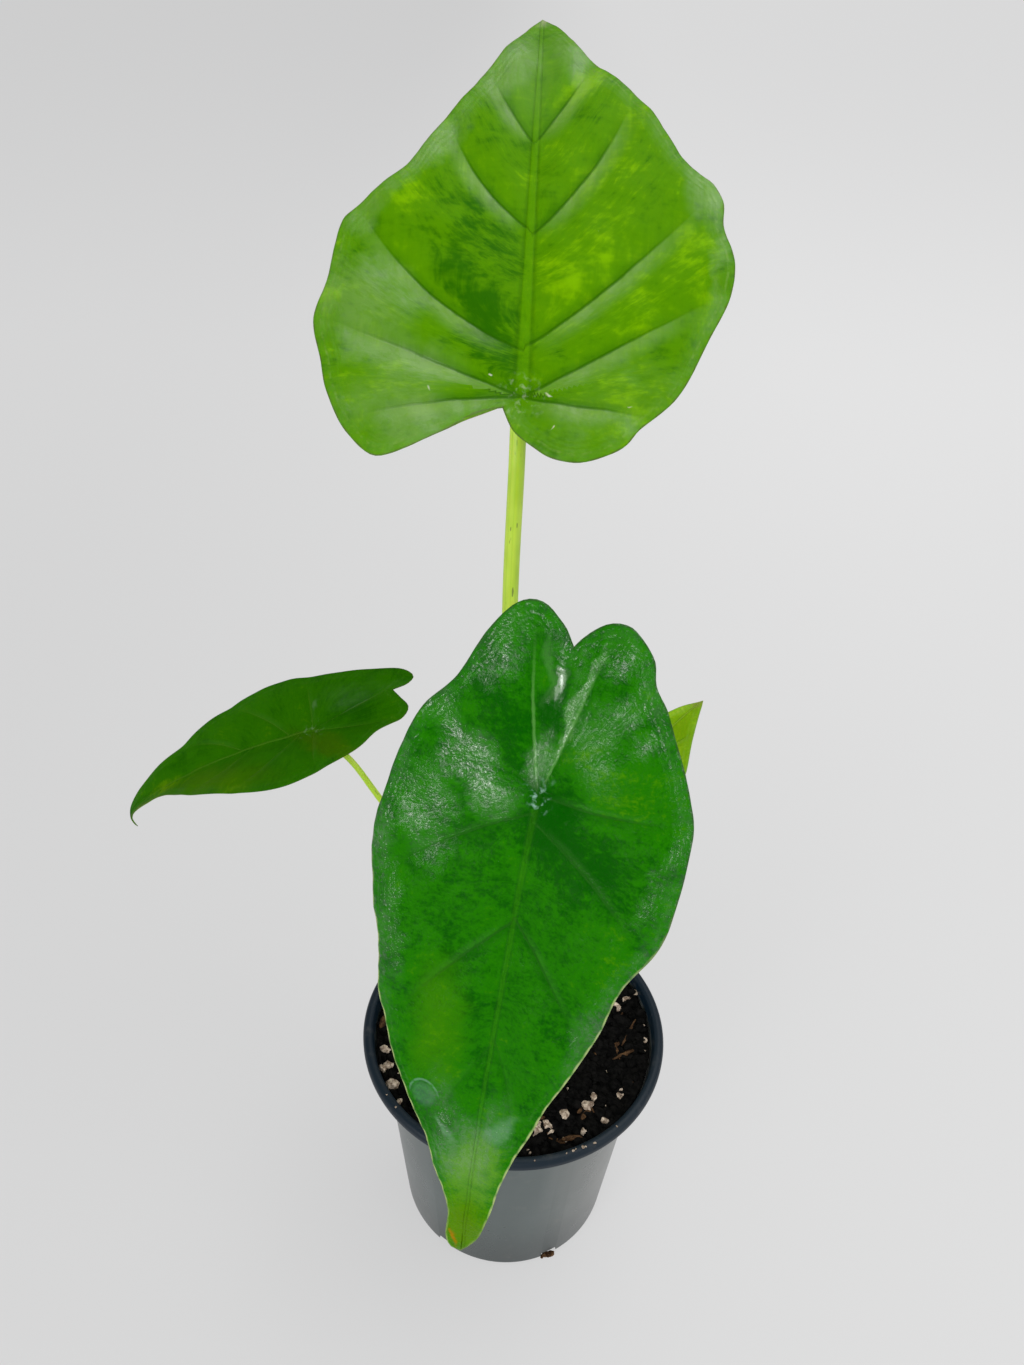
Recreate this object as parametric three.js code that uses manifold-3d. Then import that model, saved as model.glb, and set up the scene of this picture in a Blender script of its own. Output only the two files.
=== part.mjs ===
// Potted alocasia: four arrow-shaped leaves on long stalks, rooted in a round black nursery pot.
// Millimetres, Z up. The origin is the centre of the pot's base, where it stands on the surface,
// and the front of the plant looks along -Y.

import * as THREE from 'three';
import { mergeVertices } from 'three/addons/utils/BufferGeometryUtils.js';
import Module from 'manifold-3d';

const wasm = await Module();
wasm.setup();

// Driving dimensions

const seatGap = 0.3;
const roundSides = 44;

const pot = {
  height: 93,
  lipRadius: 52.5,
  lipInner: 49.2,
  lipDrop: 3.8,
  collarRadius: 49.6,
  shoulderRadius: 45.3,
  shoulderHeight: 83.2,
  baseRadius: 38.4,
  baseBevel: 1.5,
  wall: 1.25,
  floor: 1.6,
};

const drain = { count: 6, radius: 3.9, centreRadius: 36, top: 4.6, firstTurn: -63 };

const soil = { level: 88, roughness: 0.7, rings: 7 };
const grains = { count: 26, smallest: 0.9, largest: 2.2, innerRadius: 16, outerRadius: 45, seed: 11 };
const chips = { count: 6, length: 9, width: 2.6, thickness: 1.3, innerRadius: 20, outerRadius: 38 };
const crumb = { radius: 2, reach: 37.3, height: 2.25 };

const corm = { radius: 9.6, top: 89.5, depth: 27, toe: 5, sides: 20 };
const roots = { count: 5, radius: 1.5, tipRadius: 0.8, sides: 5, rows: 6 };

const blade = { thickness: 0.9, ribDepth: 1.7, ribWidth: 2.2, ribRunOut: 4 };
const stalkShape = { sides: 10, rows: 13, knee: 8, neck: 2.5, flare: 0.6, flareEnd: 12 };

// Facets crowd towards the lobes along a blade and towards the midrib across it.
const crowding = { along: 1.35, across: 1.5 };

// A blade is drawn flat in (u, v). u runs along the midrib, from the stalk's junction at 0 towards
// the tip. v runs across it, positive on the left of a leaf seen from above with its tip ahead.
// heading, rise and roll turn it in degrees. droop and tipDroop bend the midrib down, lobeDroop bends
// the back lobes down and sweep bends the midrib sideways, in radians over the length span. fold
// raises both halves into a V and camber flattens it again towards the margins. Veins are sunk to
// veinDepth in the upper face. rows and columns are the facets along and across each half.
// left and right are the margins from the notch between the lobes to the tip, and each vein is the
// start, bend and end of one curve.

const leaves = {
  top: {
    junction: [-7.8, 12, 318], heading: 89.7, rise: 42, roll: 0,
    span: 120, droop: 0.25, tipDroop: 0.1, tipPower: 3, lobeDroop: 0.1, sweep: 0, fold: 0.12, camber: 0.25,
    veinDepth: 1.9, veinWidth: 6, rows: 34, columns: 7,
    notch: [-2.8, 4.2],
    left: [
      [-4.6, 10], [-8.8, 15.6], [-16.6, 29.4], [-17.5, 34], [-11.7, 40.7], [-1, 46.7], [6, 48.4],
      [18.5, 51.6], [28, 49], [44.4, 47.2], [49, 45], [58, 36.3], [63, 31.6], [78, 24.4], [90, 17.6],
      [99, 13.9], [116, 5.4],
    ],
    right: [
      [-6.4, 2.8], [-9.5, 1.1], [-13.7, -4.1], [-15.9, -7.8], [-16.8, -14.5], [-12.6, -24.6],
      [-6.7, -29], [0.4, -36.8], [17.2, -44.8], [30, -50], [38.7, -51], [48.8, -48.2],
      [57.6, -48.2], [62.6, -45.8], [65, -42], [69.4, -37.8], [76.2, -34.2], [91, -26.7], [98.8, -19.1],
      [111, -10], [120, -5],
    ],
    tip: [127.5, 0],
    veins: [
      [[0, 0], [-2, 20], [-8, 41]], [[0, 0], [6, 20], [19, 50]], [[12, 0], [26, 24], [50, 43]],
      [[46, 0], [60, 14], [78, 22]], [[73, 0], [86, 8], [98, 13]],
      [[0, 0], [-3, -15], [-4, -31]], [[0, 0], [8, -16], [30, -48]], [[13, 0], [28, -17], [59, -45]],
      [[44, 0], [66, -15], [90, -25]], [[74, 0], [88, -8], [102, -14]],
    ],
  },
  front: {
    junction: [0, -60, 255], heading: -106.9, rise: -63, roll: 0,
    span: 120, droop: 0.18, tipDroop: 0.1, tipPower: 3, lobeDroop: 0.1, sweep: 0, fold: 0.12, camber: 0.3,
    veinDepth: 1.1, veinWidth: 5, rows: 30, columns: 7,
    notch: [-33.6, 1],
    left: [
      [-36.2, 3.1], [-40.2, 8], [-40.4, 13], [-35.1, 19], [-29.3, 20.7], [-24.3, 24.2], [-8.2, 32.3],
      [1, 34.7], [17.2, 34.6], [27, 32.9], [37.7, 27.2], [52, 23.5], [76.8, 14.2], [97.6, 8.1],
      [121.8, 3.3],
    ],
    right: [
      [-38, -1.5], [-42, -7.5], [-40.8, -12.2], [-33.2, -18], [-22.6, -22.7], [-14, -29.2],
      [-6, -32.6], [6.7, -35], [17, -36.6], [32.8, -34.3], [41.3, -31.5], [53.8, -29.7],
      [66, -25.8], [82, -18.3], [103.7, -8.3], [113.6, -4.8], [127, -3.6],
    ],
    tip: [128.8, -0.4],
    veins: [
      [[0, 0], [-16, 5], [-39, 10]], [[-1, 0], [-14, 12], [-27, 22]], [[0, 0], [1, 16], [-1, 33]],
      [[6, 0], [14, 16], [30, 30]], [[29, 0], [37, 8], [56, 21]], [[60, 0], [74, 8], [92, 9]],
      [[0, 0], [-16, -5], [-40, -8]], [[-1, 0], [-10, -16], [-14, -28]], [[4, 0], [10, -14], [27, -34]],
      [[30, 0], [42, -12], [62, -26]], [[62, 0], [76, -8], [92, -13]],
    ],
  },
  left: {
    junction: [-64, 8, 215], heading: 170, rise: -26, roll: -24,
    span: 80, droop: 0.27, tipDroop: 0.26, tipPower: 12, lobeDroop: 0.15, sweep: 0.15, fold: 0.43, camber: 1,
    veinDepth: 0.7, veinWidth: 4, rows: 26, columns: 5,
    notch: [-26.7, -7.6],
    left: [
      [-29.3, -4.8], [-31.8, -1.6], [-30, 1.5], [-26.9, 3], [-23.5, 5.3], [-19.8, 10.7],
      [-14.5, 14.3], [-7.4, 16.9], [4, 20.4], [22, 17.6], [43.2, 11.2], [63.5, 2.8], [79, -0.2],
    ],
    right: [
      [-31.4, -8.8], [-33.3, -10.4], [-31.2, -12.5], [-24.2, -14.2], [-10, -15.6], [12.7, -17.7],
      [37.7, -13.9], [54, -9.4], [68, -6.3], [79, -3.4],
    ],
    tip: [92, -1.6],
    veins: [
      [[0, 0], [-12, 3], [-28, 2]], [[0, 0], [-3, 10], [-6, 16]], [[4, 0], [12, 12], [24, 16]],
      [[22, 0], [32, 9], [44, 10]],
      [[0, 0], [-14, -4], [-31, -10]], [[0, 0], [0, -9], [2, -16]], [[8, 0], [18, -10], [30, -15]],
      [[26, 0], [38, -8], [50, -9]],
    ],
  },
  right: {
    junction: [20.6, 12, 186.6], heading: 43, rise: 29, roll: 0,
    span: 55, droop: 0.2, tipDroop: 0.1, tipPower: 3, lobeDroop: 0.1, sweep: 0, fold: 0.3, camber: 0.6,
    veinDepth: 0.6, veinWidth: 4, rows: 16, columns: 5,
    notch: [-12, 0],
    left: [[-16, 4], [-16, 10], [-8, 17], [6, 20], [20, 15.8], [31, 8.9], [39.7, 4.9], [46.3, 2.4]],
    right: [
      [-16, -4], [-16, -10], [-8, -17], [6, -21], [17, -20.2], [25, -16.6], [36.7, -8.9], [44, -4.4],
    ],
    tip: [51, 0],
    veins: [
      [[0, 0], [-8, 6], [-15, 8]], [[0, 0], [2, 11], [6, 19]], [[7, 0], [16, 11], [28, 13]],
      [[22, 0], [31, 6], [40, 6]],
      [[0, 0], [-8, -6], [-15, -8]], [[0, 0], [2, -11], [6, -20]], [[7, 0], [16, -12], [28, -16]],
      [[22, 0], [31, -7], [40, -8]],
    ],
  },
};

// Each stalk rises from its foot on the corm through these points to the underside of its blade.

const stalks = {
  top: {
    foot: [-0.6, 1.4], footRadius: 2.9, endRadius: 2.05,
    through: [[-3.4, 4, 135], [-6.6, 9, 200], [-8.2, 12.6, 262], [-8.1, 14.4, 297]],
  },
  front: {
    foot: [0.8, -4.9], footRadius: 2.6, endRadius: 1.9,
    through: [[0.8, -13, 130], [0.7, -29, 185], [0.8, -46, 232]],
  },
  left: {
    foot: [-6.9, 2.6], footRadius: 2.2, endRadius: 0.85,
    through: [[-12, 3.6, 118], [-28, 6, 162], [-44.6, 8, 188.5], [-54, 8, 205]],
  },
  right: {
    foot: [5.7, 2.2], footRadius: 2.1, endRadius: 0.9,
    through: [[9.5, 4.5, 120], [15.5, 8.5, 155]],
  },
};

// Solids

// Shared corners are merged and empty triangles dropped, so that a shape is one closed surface.
function weld(source) {
  const plain = source.clone();
  plain.deleteAttribute('normal');
  plain.deleteAttribute('uv');
  const merged = mergeVertices(plain, 1e-3);
  const corners = merged.index.array;
  const kept = [];
  for (let i = 0; i < corners.length; i += 3) {
    const [a, b, c] = corners.slice(i, i + 3);
    if (a !== b && b !== c && c !== a) kept.push(a, b, c);
  }
  merged.setIndex(kept);
  merged.computeVertexNormals();
  return merged;
}

function fromTriangles(triangles) {
  const geometry = new THREE.BufferGeometry().setFromPoints(triangles.flat());
  return weld(geometry);
}

function toManifold(geometry) {
  return new wasm.Manifold(new wasm.Mesh({
    numProp: 3,
    vertProperties: Float32Array.from(geometry.attributes.position.array),
    triVerts: Uint32Array.from(geometry.index.array),
  }));
}

function fromManifold(solid) {
  const mesh = solid.getMesh();
  const geometry = new THREE.BufferGeometry();
  geometry.setAttribute('position', new THREE.BufferAttribute(Float32Array.from(mesh.vertProperties), 3));
  geometry.setIndex(Array.from(mesh.triVerts));
  geometry.computeVertexNormals();
  return geometry;
}

// Seeded random numbers from 0 to 1.
function randomSource(seed) {
  let state = seed;
  return () => {
    state = (state * 1664525 + 1013904223) % 4294967296;
    return state / 4294967296;
  };
}

function lathe(profile, sides) {
  const points = profile.map(([radius, height]) => new THREE.Vector2(radius, height));
  return weld(new THREE.LatheGeometry(points, sides).rotateX(Math.PI / 2));
}

// Two rows of points joined by triangles, facing left of the way from one to the next.
function bridge(lower, upper) {
  const triangles = [];
  for (let k = 0; k + 1 < lower.length; k++) {
    triangles.push([lower[k], lower[k + 1], upper[k + 1]], [lower[k], upper[k + 1], upper[k]]);
  }
  return triangles;
}

// A round bar along a curve, with a radius that changes from end to end and flat ends.
function taperedBar(curve, radiusAt, sides, rows) {
  const frames = curve.computeFrenetFrames(rows, false);
  const rings = [];
  for (let i = 0; i <= rows; i++) {
    const centre = curve.getPointAt(i / rows);
    const ring = [];
    for (let k = 0; k <= sides; k++) {
      const turn = 2 * Math.PI * (k % sides) / sides;
      const radius = radiusAt(i / rows);
      ring.push(centre.clone()
        .addScaledVector(frames.normals[i], radius * Math.cos(turn))
        .addScaledVector(frames.binormals[i], radius * Math.sin(turn)));
    }
    rings.push(ring);
  }
  const triangles = rings.slice(1).flatMap((ring, i) => bridge(rings[i], ring));
  const start = rings[0].map(() => curve.getPointAt(0));
  const end = rings[rows].map(() => curve.getPointAt(1));
  return fromTriangles([...bridge(start, rings[0]), ...triangles, ...bridge(rings[rows], end)]);
}

// Pot

// The inside of the wall, from the floor's corner up to the lip.
function innerWall() {
  const { baseRadius, shoulderRadius, shoulderHeight, wall, floor, collarRadius, height } = pot;
  return [
    [baseRadius - wall - 1.2, floor],
    [baseRadius - wall, floor + 1.4],
    [shoulderRadius - wall, shoulderHeight],
    [collarRadius - wall - 1.2, shoulderHeight + 2],
    [collarRadius - wall, shoulderHeight + 3.2],
    [pot.lipInner - 0.3, height - 2],
  ];
}

function potGeometry() {
  const { height, lipRadius, lipInner, lipDrop, collarRadius, shoulderRadius, shoulderHeight } = pot;
  const { baseRadius, baseBevel, floor } = pot;
  const outer = [
    [0, 0],
    [baseRadius - baseBevel, 0],
    [baseRadius, baseBevel],
    [shoulderRadius, shoulderHeight - 0.6],
    [collarRadius - 1.2, shoulderHeight + 1.6],
    [collarRadius, height - lipDrop - 0.4],
    [lipRadius - 0.5, height - lipDrop],
    [lipRadius, height - lipDrop + 0.6],
    [lipRadius, height - 1.5],
    [lipRadius - 0.6, height - 0.4],
    [lipRadius - 1.5, height],
    [lipInner + 0.9, height],
    [lipInner, height - 0.6],
  ];
  const body = toManifold(lathe([...outer, ...innerWall().reverse(), [0, floor]], roundSides));
  const cutter = new THREE.CylinderGeometry(drain.radius, drain.radius, drain.top + 2, 14)
    .rotateX(Math.PI / 2)
    .translate(drain.centreRadius, 0, drain.top / 2 - 1);
  let cut = body;
  for (let k = 0; k < drain.count; k++) {
    const turn = THREE.MathUtils.degToRad(drain.firstTurn + 360 * k / drain.count);
    cut = cut.subtract(toManifold(weld(cutter.clone().rotateZ(turn))));
  }
  return fromManifold(cut);
}

// Corm and roots

// The path of root k, from inside the corm out and down into the soil.
function rootCurve(k) {
  const turn = 2 * Math.PI * (k + 0.35) / roots.count;
  const base = corm.top - corm.depth;
  const at = (radius, height, twist) => new THREE.Vector3(
    radius * Math.cos(turn + twist), radius * Math.sin(turn + twist), height);
  return new THREE.CatmullRomCurve3([
    at(4, base + 8, 0), at(16, base - 2, 0.1), at(27, base - 20 - 3 * k, 0.3), at(29, 20 + 4 * k, 0.6),
  ]);
}

// The corm and its roots, grown outwards by extra to make the hole that they stand in.
function rootstockSolid(extra, top) {
  const base = corm.top - corm.depth;
  const profile = [
    [0, base - extra],
    [corm.toe + extra, base - extra],
    [corm.radius - 0.8 + extra, base + 7],
    [corm.radius + extra, base + 15],
    [corm.radius - 0.7 + extra, base + 22],
    [corm.radius + extra, corm.top - 1],
    [corm.radius - 0.6 + extra, top],
    [0, top],
  ];
  let solid = toManifold(lathe(profile, corm.sides));
  for (let k = 0; k < roots.count; k++) {
    const radiusAt = (t) => THREE.MathUtils.lerp(roots.radius, roots.tipRadius, t) + extra;
    solid = solid.add(toManifold(taperedBar(rootCurve(k), radiusAt, roots.sides, roots.rows)));
  }
  return solid;
}

// Soil

// Height of the soil's surface: low lumps, a little higher against the pot.
function soilHeight(x, y) {
  const lumps = Math.sin(0.31 * x + 1.2) * Math.cos(0.27 * y - 0.4)
    + 0.6 * Math.sin(0.62 * x - 0.35 * y) + 0.4 * Math.cos(0.9 * y + 0.5 * x);
  const edge = Math.hypot(x, y) / pot.collarRadius;
  return soil.level + soil.roughness * lumps * 0.6 + 0.8 * edge * edge - 0.4;
}

// The inside of the pot drawn in by the seat gap, then the rough surface in rings to the middle.
function soilBody() {
  const wall = innerWall();
  const inset = wall.slice(0, -1).map(([radius, height], i) => {
    const before = wall[Math.max(i - 1, 0)];
    const after = wall[i + 1];
    const run = new THREE.Vector2(after[0] - before[0], after[1] - before[1]).normalize();
    return [radius - (seatGap + 0.1) * run.y, height + (seatGap + 0.1) * run.x];
  });
  const edgeRadius = inset.at(-1)[0];
  const ringAt = (radius, heightAt) => {
    const ring = [];
    for (let k = 0; k <= roundSides; k++) {
      const turn = 2 * Math.PI * (k % roundSides) / roundSides;
      const x = radius * Math.sin(turn);
      const y = -radius * Math.cos(turn);
      ring.push(new THREE.Vector3(x, y, heightAt(x, y)));
    }
    return ring;
  };
  const floorHeight = inset[0][1];
  const rows = [ringAt(0, () => floorHeight)];
  for (const [radius, height] of inset) rows.push(ringAt(radius, () => height));
  for (let k = 0; k <= soil.rings; k++) {
    rows.push(ringAt(edgeRadius * (1 - k / soil.rings), soilHeight));
  }
  return toManifold(fromTriangles(rows.slice(1).flatMap((row, i) => bridge(rows[i], row))));
}

// A perlite grain or a bark chip: a few-sided lump, pressed halfway into the surface.
function lump(geometry, x, y, size, random) {
  geometry.scale(size[0], size[1], size[2]);
  geometry.rotateX(0.5 * (random() - 0.5));
  geometry.rotateZ(2 * Math.PI * random());
  geometry.translate(x, y, soilHeight(x, y));
  return toManifold(weld(geometry));
}

function soilGeometry() {
  const random = randomSource(grains.seed);
  const spot = (inner, outer) => {
    const radius = Math.sqrt(THREE.MathUtils.lerp(inner * inner, outer * outer, random()));
    const turn = 2 * Math.PI * random();
    return [radius * Math.cos(turn), radius * Math.sin(turn)];
  };
  let solid = soilBody();
  for (let k = 0; k < grains.count; k++) {
    const [x, y] = spot(grains.innerRadius, grains.outerRadius);
    const size = THREE.MathUtils.lerp(grains.smallest, grains.largest, random() ** 2);
    solid = solid.add(lump(new THREE.IcosahedronGeometry(1), x, y, [size, size * 0.85, size * 0.8], random));
  }
  for (let k = 0; k < chips.count; k++) {
    const [x, y] = spot(chips.innerRadius, chips.outerRadius);
    const size = [chips.length * (0.6 + 0.4 * random()), chips.width, chips.thickness];
    solid = solid.add(lump(new THREE.BoxGeometry(1, 1, 1), x, y, size, random));
  }
  const spill = new THREE.IcosahedronGeometry(crumb.radius)
    .scale(1.1, 0.9, 1)
    .translate(crumb.reach, 0, crumb.height)
    .rotateZ(THREE.MathUtils.degToRad(drain.firstTurn));
  solid = solid.add(toManifold(weld(spill)));
  return fromManifold(solid.subtract(rootstockSolid(seatGap, corm.top + 10)));
}

// Leaves

// The blade's axes at its junction: along the midrib, across it, and up out of its upper face.
function bladeAxes(leaf) {
  const heading = THREE.MathUtils.degToRad(leaf.heading);
  const rise = THREE.MathUtils.degToRad(leaf.rise);
  const along = new THREE.Vector3(
    Math.cos(rise) * Math.cos(heading), Math.cos(rise) * Math.sin(heading), Math.sin(rise));
  const across = new THREE.Vector3(-Math.sin(heading), Math.cos(heading), 0)
    .applyAxisAngle(along, THREE.MathUtils.degToRad(leaf.roll));
  const up = new THREE.Vector3().crossVectors(along, across);
  return { along, across, up };
}

// The midrib's direction at u: it droops towards the tip, and the lobes droop the other way.
function midribDirection(leaf, axes, u) {
  const part = u / leaf.span;
  const bend = u > 0 ? leaf.droop * part + leaf.tipDroop * part ** leaf.tipPower : leaf.lobeDroop * part;
  const swing = leaf.sweep * part;
  return axes.along.clone().multiplyScalar(Math.cos(bend))
    .addScaledVector(axes.up, -Math.sin(bend))
    .multiplyScalar(Math.cos(swing))
    .addScaledVector(axes.across, Math.sin(swing));
}

function midribPoint(leaf, axes, u) {
  const steps = 16;
  const point = new THREE.Vector3(...leaf.junction);
  for (let k = 0; k < steps; k++) {
    point.addScaledVector(midribDirection(leaf, axes, u * (k + 0.5) / steps), u / steps);
  }
  return point;
}

function distanceToVeins(leaf, u, v) {
  const here = new THREE.Vector3(u, v, 0);
  const nearest = new THREE.Vector3();
  let distance = u > 0 ? Math.abs(v) : here.length();
  for (const [start, bend, end] of leaf.veins) {
    const curve = new THREE.QuadraticBezierCurve3(
      new THREE.Vector3(...start, 0), new THREE.Vector3(...bend, 0), new THREE.Vector3(...end, 0));
    const points = curve.getPoints(6);
    for (let k = 0; k + 1 < points.length; k++) {
      new THREE.Line3(points[k], points[k + 1]).closestPointToPoint(here, true, nearest);
      distance = Math.min(distance, nearest.distanceTo(here));
    }
  }
  return distance;
}

// The middle surface of a blade: folded in a V, arched, and sunk along its veins.
function bladePoint(leaf, axes, u, v) {
  const along = midribDirection(leaf, axes, u);
  const up = new THREE.Vector3().crossVectors(along, axes.across).normalize();
  const across = new THREE.Vector3().crossVectors(up, along);
  const turnPerLength = leaf.camber / 50;
  const width = Math.abs(v);
  const softWidth = Math.hypot(width, 2) - 2;
  const reach = (Math.sin(leaf.fold) - Math.sin(leaf.fold - turnPerLength * width)) / turnPerLength;
  const height = (Math.cos(leaf.fold - turnPerLength * softWidth) - Math.cos(leaf.fold)) / turnPerLength;
  const groove = leaf.veinDepth * Math.exp(-((distanceToVeins(leaf, u, v) / leaf.veinWidth) ** 2));
  return midribPoint(leaf, axes, u)
    .addScaledVector(across, Math.sign(v) * reach)
    .addScaledVector(up, height - groove);
}

function bladeNormal(leaf, axes, u, v) {
  const step = 0.4;
  const ahead = bladePoint(leaf, axes, u + step, v).sub(bladePoint(leaf, axes, u - step, v));
  const aside = bladePoint(leaf, axes, u, v + step).sub(bladePoint(leaf, axes, u, v - step));
  return ahead.cross(aside).normalize();
}

// Depth of the midrib that stands out of the underside, thick at the stalk and fine at the tip.
function ribDepth(leaf, u, v) {
  const along = u > 0 ? Math.max(0, 1 - u / leaf.tip[0]) : Math.exp(-((u / blade.ribRunOut) ** 2));
  return blade.ribDepth * Math.sqrt(along) * Math.exp(-((v / blade.ribWidth) ** 2));
}

// Both faces of a blade, with the same triangles, closed by a rim along the margin.
function bladeGeometry(leaf) {
  const axes = bladeAxes(leaf);
  const triangles = [];
  const flat = ([u, v]) => new THREE.Vector3(u, v, 0);
  const notch = flat(leaf.notch);
  const tip = flat(leaf.tip);
  const junction = new THREE.Vector3();
  const midline = new THREE.CurvePath();
  midline.add(new THREE.LineCurve3(notch, junction));
  midline.add(new THREE.LineCurve3(junction, tip));
  for (const side of ['left', 'right']) {
    const margin = new THREE.CatmullRomCurve3([notch, ...leaf[side].map(flat), tip], false, 'centripetal');
    const upper = [];
    const lower = [];
    for (let i = 0; i <= leaf.rows; i++) {
      const inner = midline.getPointAt((i / leaf.rows) ** crowding.along);
      const outer = margin.getPointAt(i / leaf.rows);
      const upperRow = [];
      const lowerRow = [];
      for (let j = 0; j <= leaf.columns; j++) {
        const place = inner.clone().lerp(outer, (j / leaf.columns) ** crowding.across);
        const point = bladePoint(leaf, axes, place.x, place.y);
        const normal = bladeNormal(leaf, axes, place.x, place.y);
        upperRow.push(point.clone().addScaledVector(normal, blade.thickness / 2));
        lowerRow.push(point.clone()
          .addScaledVector(normal, -blade.thickness / 2 - ribDepth(leaf, place.x, place.y)));
      }
      upper.push(upperRow);
      lower.push(lowerRow);
    }
    const faces = [];
    for (let i = 0; i < leaf.rows; i++) {
      faces.push(...bridge(upper[i + 1], upper[i]), ...bridge(lower[i], lower[i + 1]));
    }
    const last = leaf.columns;
    faces.push(...bridge(upper.map((row) => row[last]), lower.map((row) => row[last])));
    for (const face of faces) triangles.push(side === 'right' ? face.toReversed() : face);
  }
  return fromTriangles(triangles);
}

// A stalk rises straight from the corm, follows its points, and meets the blade's rib square on.
function stalkGeometry(leaf, stalk) {
  const axes = bladeAxes(leaf);
  const normal = bladeNormal(leaf, axes, 1, 0);
  const under = blade.thickness / 2 + blade.ribDepth + seatGap;
  const top = bladePoint(leaf, axes, 0, 0).addScaledVector(normal, -under);
  const neck = top.clone().addScaledVector(normal, -stalkShape.neck);
  const foot = new THREE.Vector3(...stalk.foot, corm.top + seatGap);
  const knee = foot.clone().setZ(foot.z + stalkShape.knee);
  const through = stalk.through.map((point) => new THREE.Vector3(...point));
  const curve = new THREE.CatmullRomCurve3([foot, knee, ...through, neck, top], false, 'centripetal');
  const { flare, flareEnd } = stalkShape;
  const radiusAt = (t) => stalk.endRadius + (stalk.footRadius - stalk.endRadius)
    * ((1 - flare) * (1 - t) + flare * Math.exp(-flareEnd * t));
  return taperedBar(curve, radiusAt, stalkShape.sides, stalkShape.rows);
}

// Assembly

const finishes = {
  pot: { color: 0x33383a, roughness: 0.45 },
  soil: { color: 0x17120f, roughness: 0.95 },
  rootstock: { color: 0x8a6f4c, roughness: 0.8 },
  stalk: { color: 0x9cc227, roughness: 0.45 },
  topBlade: { color: 0x4f8f12, roughness: 0.42 },
  frontBlade: { color: 0x146b10, roughness: 0.33 },
  leftBlade: { color: 0x2c6f14, roughness: 0.38 },
  rightBlade: { color: 0x6fa512, roughness: 0.42 },
};

const plant = new THREE.Group();

function addPiece(name, geometry, finish) {
  const material = new THREE.MeshStandardMaterial({ ...finish, metalness: 0 });
  const mesh = new THREE.Mesh(geometry, material);
  mesh.name = name;
  plant.add(mesh);
}

addPiece('pot', potGeometry(), finishes.pot);
addPiece('soil', soilGeometry(), finishes.soil);
addPiece('rootstock', fromManifold(rootstockSolid(0, corm.top)), finishes.rootstock);
for (const [name, leaf] of Object.entries(leaves)) {
  addPiece(`stalk_${name}`, stalkGeometry(leaf, stalks[name]), finishes.stalk);
  addPiece(`blade_${name}`, bladeGeometry(leaf), finishes[`${name}Blade`]);
}

export default plant;
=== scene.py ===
# Potted alocasia with four arrow-shaped leaves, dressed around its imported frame. Metres, Z up.
# Leaf outlines, veins and stalk paths are in millimetres, as a plant would be measured.

import math

import bmesh
import bpy
import numpy as np
from mathutils import Matrix, Vector, noise


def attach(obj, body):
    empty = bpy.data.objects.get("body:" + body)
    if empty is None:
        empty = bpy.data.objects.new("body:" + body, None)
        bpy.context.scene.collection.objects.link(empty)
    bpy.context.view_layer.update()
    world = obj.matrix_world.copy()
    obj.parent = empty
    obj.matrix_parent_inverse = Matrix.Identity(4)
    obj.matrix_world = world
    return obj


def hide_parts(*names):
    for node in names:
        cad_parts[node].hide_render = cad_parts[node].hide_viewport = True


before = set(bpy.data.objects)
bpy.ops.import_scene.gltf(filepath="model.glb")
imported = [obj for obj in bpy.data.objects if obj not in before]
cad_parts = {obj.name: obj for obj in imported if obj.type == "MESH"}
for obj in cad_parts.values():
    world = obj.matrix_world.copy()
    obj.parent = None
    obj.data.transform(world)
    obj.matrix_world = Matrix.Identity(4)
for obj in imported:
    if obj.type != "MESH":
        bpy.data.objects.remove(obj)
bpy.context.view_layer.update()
mm = 0.001
print("frame loaded:", ", ".join(sorted(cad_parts)))


def addToScene(name, data):
    made = bpy.data.objects.new(name, data)
    bpy.context.scene.collection.objects.link(made)
    return made


# Camera, matched to the photograph through the pot's lip and base

photoCamera = {
    "place": (-6.6, -238.9, 418.3),  # mm
    "pitchDown": 36.51,              # degrees below the horizon
    "roll": 2.83,
    "focalPixels": 1100,             # in a picture of 1024 by 1365
    "pictureHeight": 1365,
}


def makeCamera(view):
    pitch = math.radians(view["pitchDown"])
    roll = math.radians(view["roll"])
    ahead = Vector((0, math.cos(pitch), -math.sin(pitch)))
    level = Vector((1, 0, 0))
    above = Vector((0, math.sin(pitch), math.cos(pitch)))
    right = math.cos(roll) * level + math.sin(roll) * above
    up = -math.sin(roll) * level + math.cos(roll) * above
    lens = bpy.data.cameras.new("photoCamera")
    lens.sensor_width = 36
    lens.lens = lens.sensor_width * view["focalPixels"] / view["pictureHeight"]
    lens.clip_start = 0.01
    camera = addToScene("photoCamera", lens)
    turned = Matrix((right, up, -ahead)).transposed().to_4x4()
    camera.matrix_world = Matrix.Translation(Vector(view["place"]) * mm) @ turned
    bpy.context.scene.camera = camera


makeCamera(photoCamera)


# Small helpers for node trees

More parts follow.
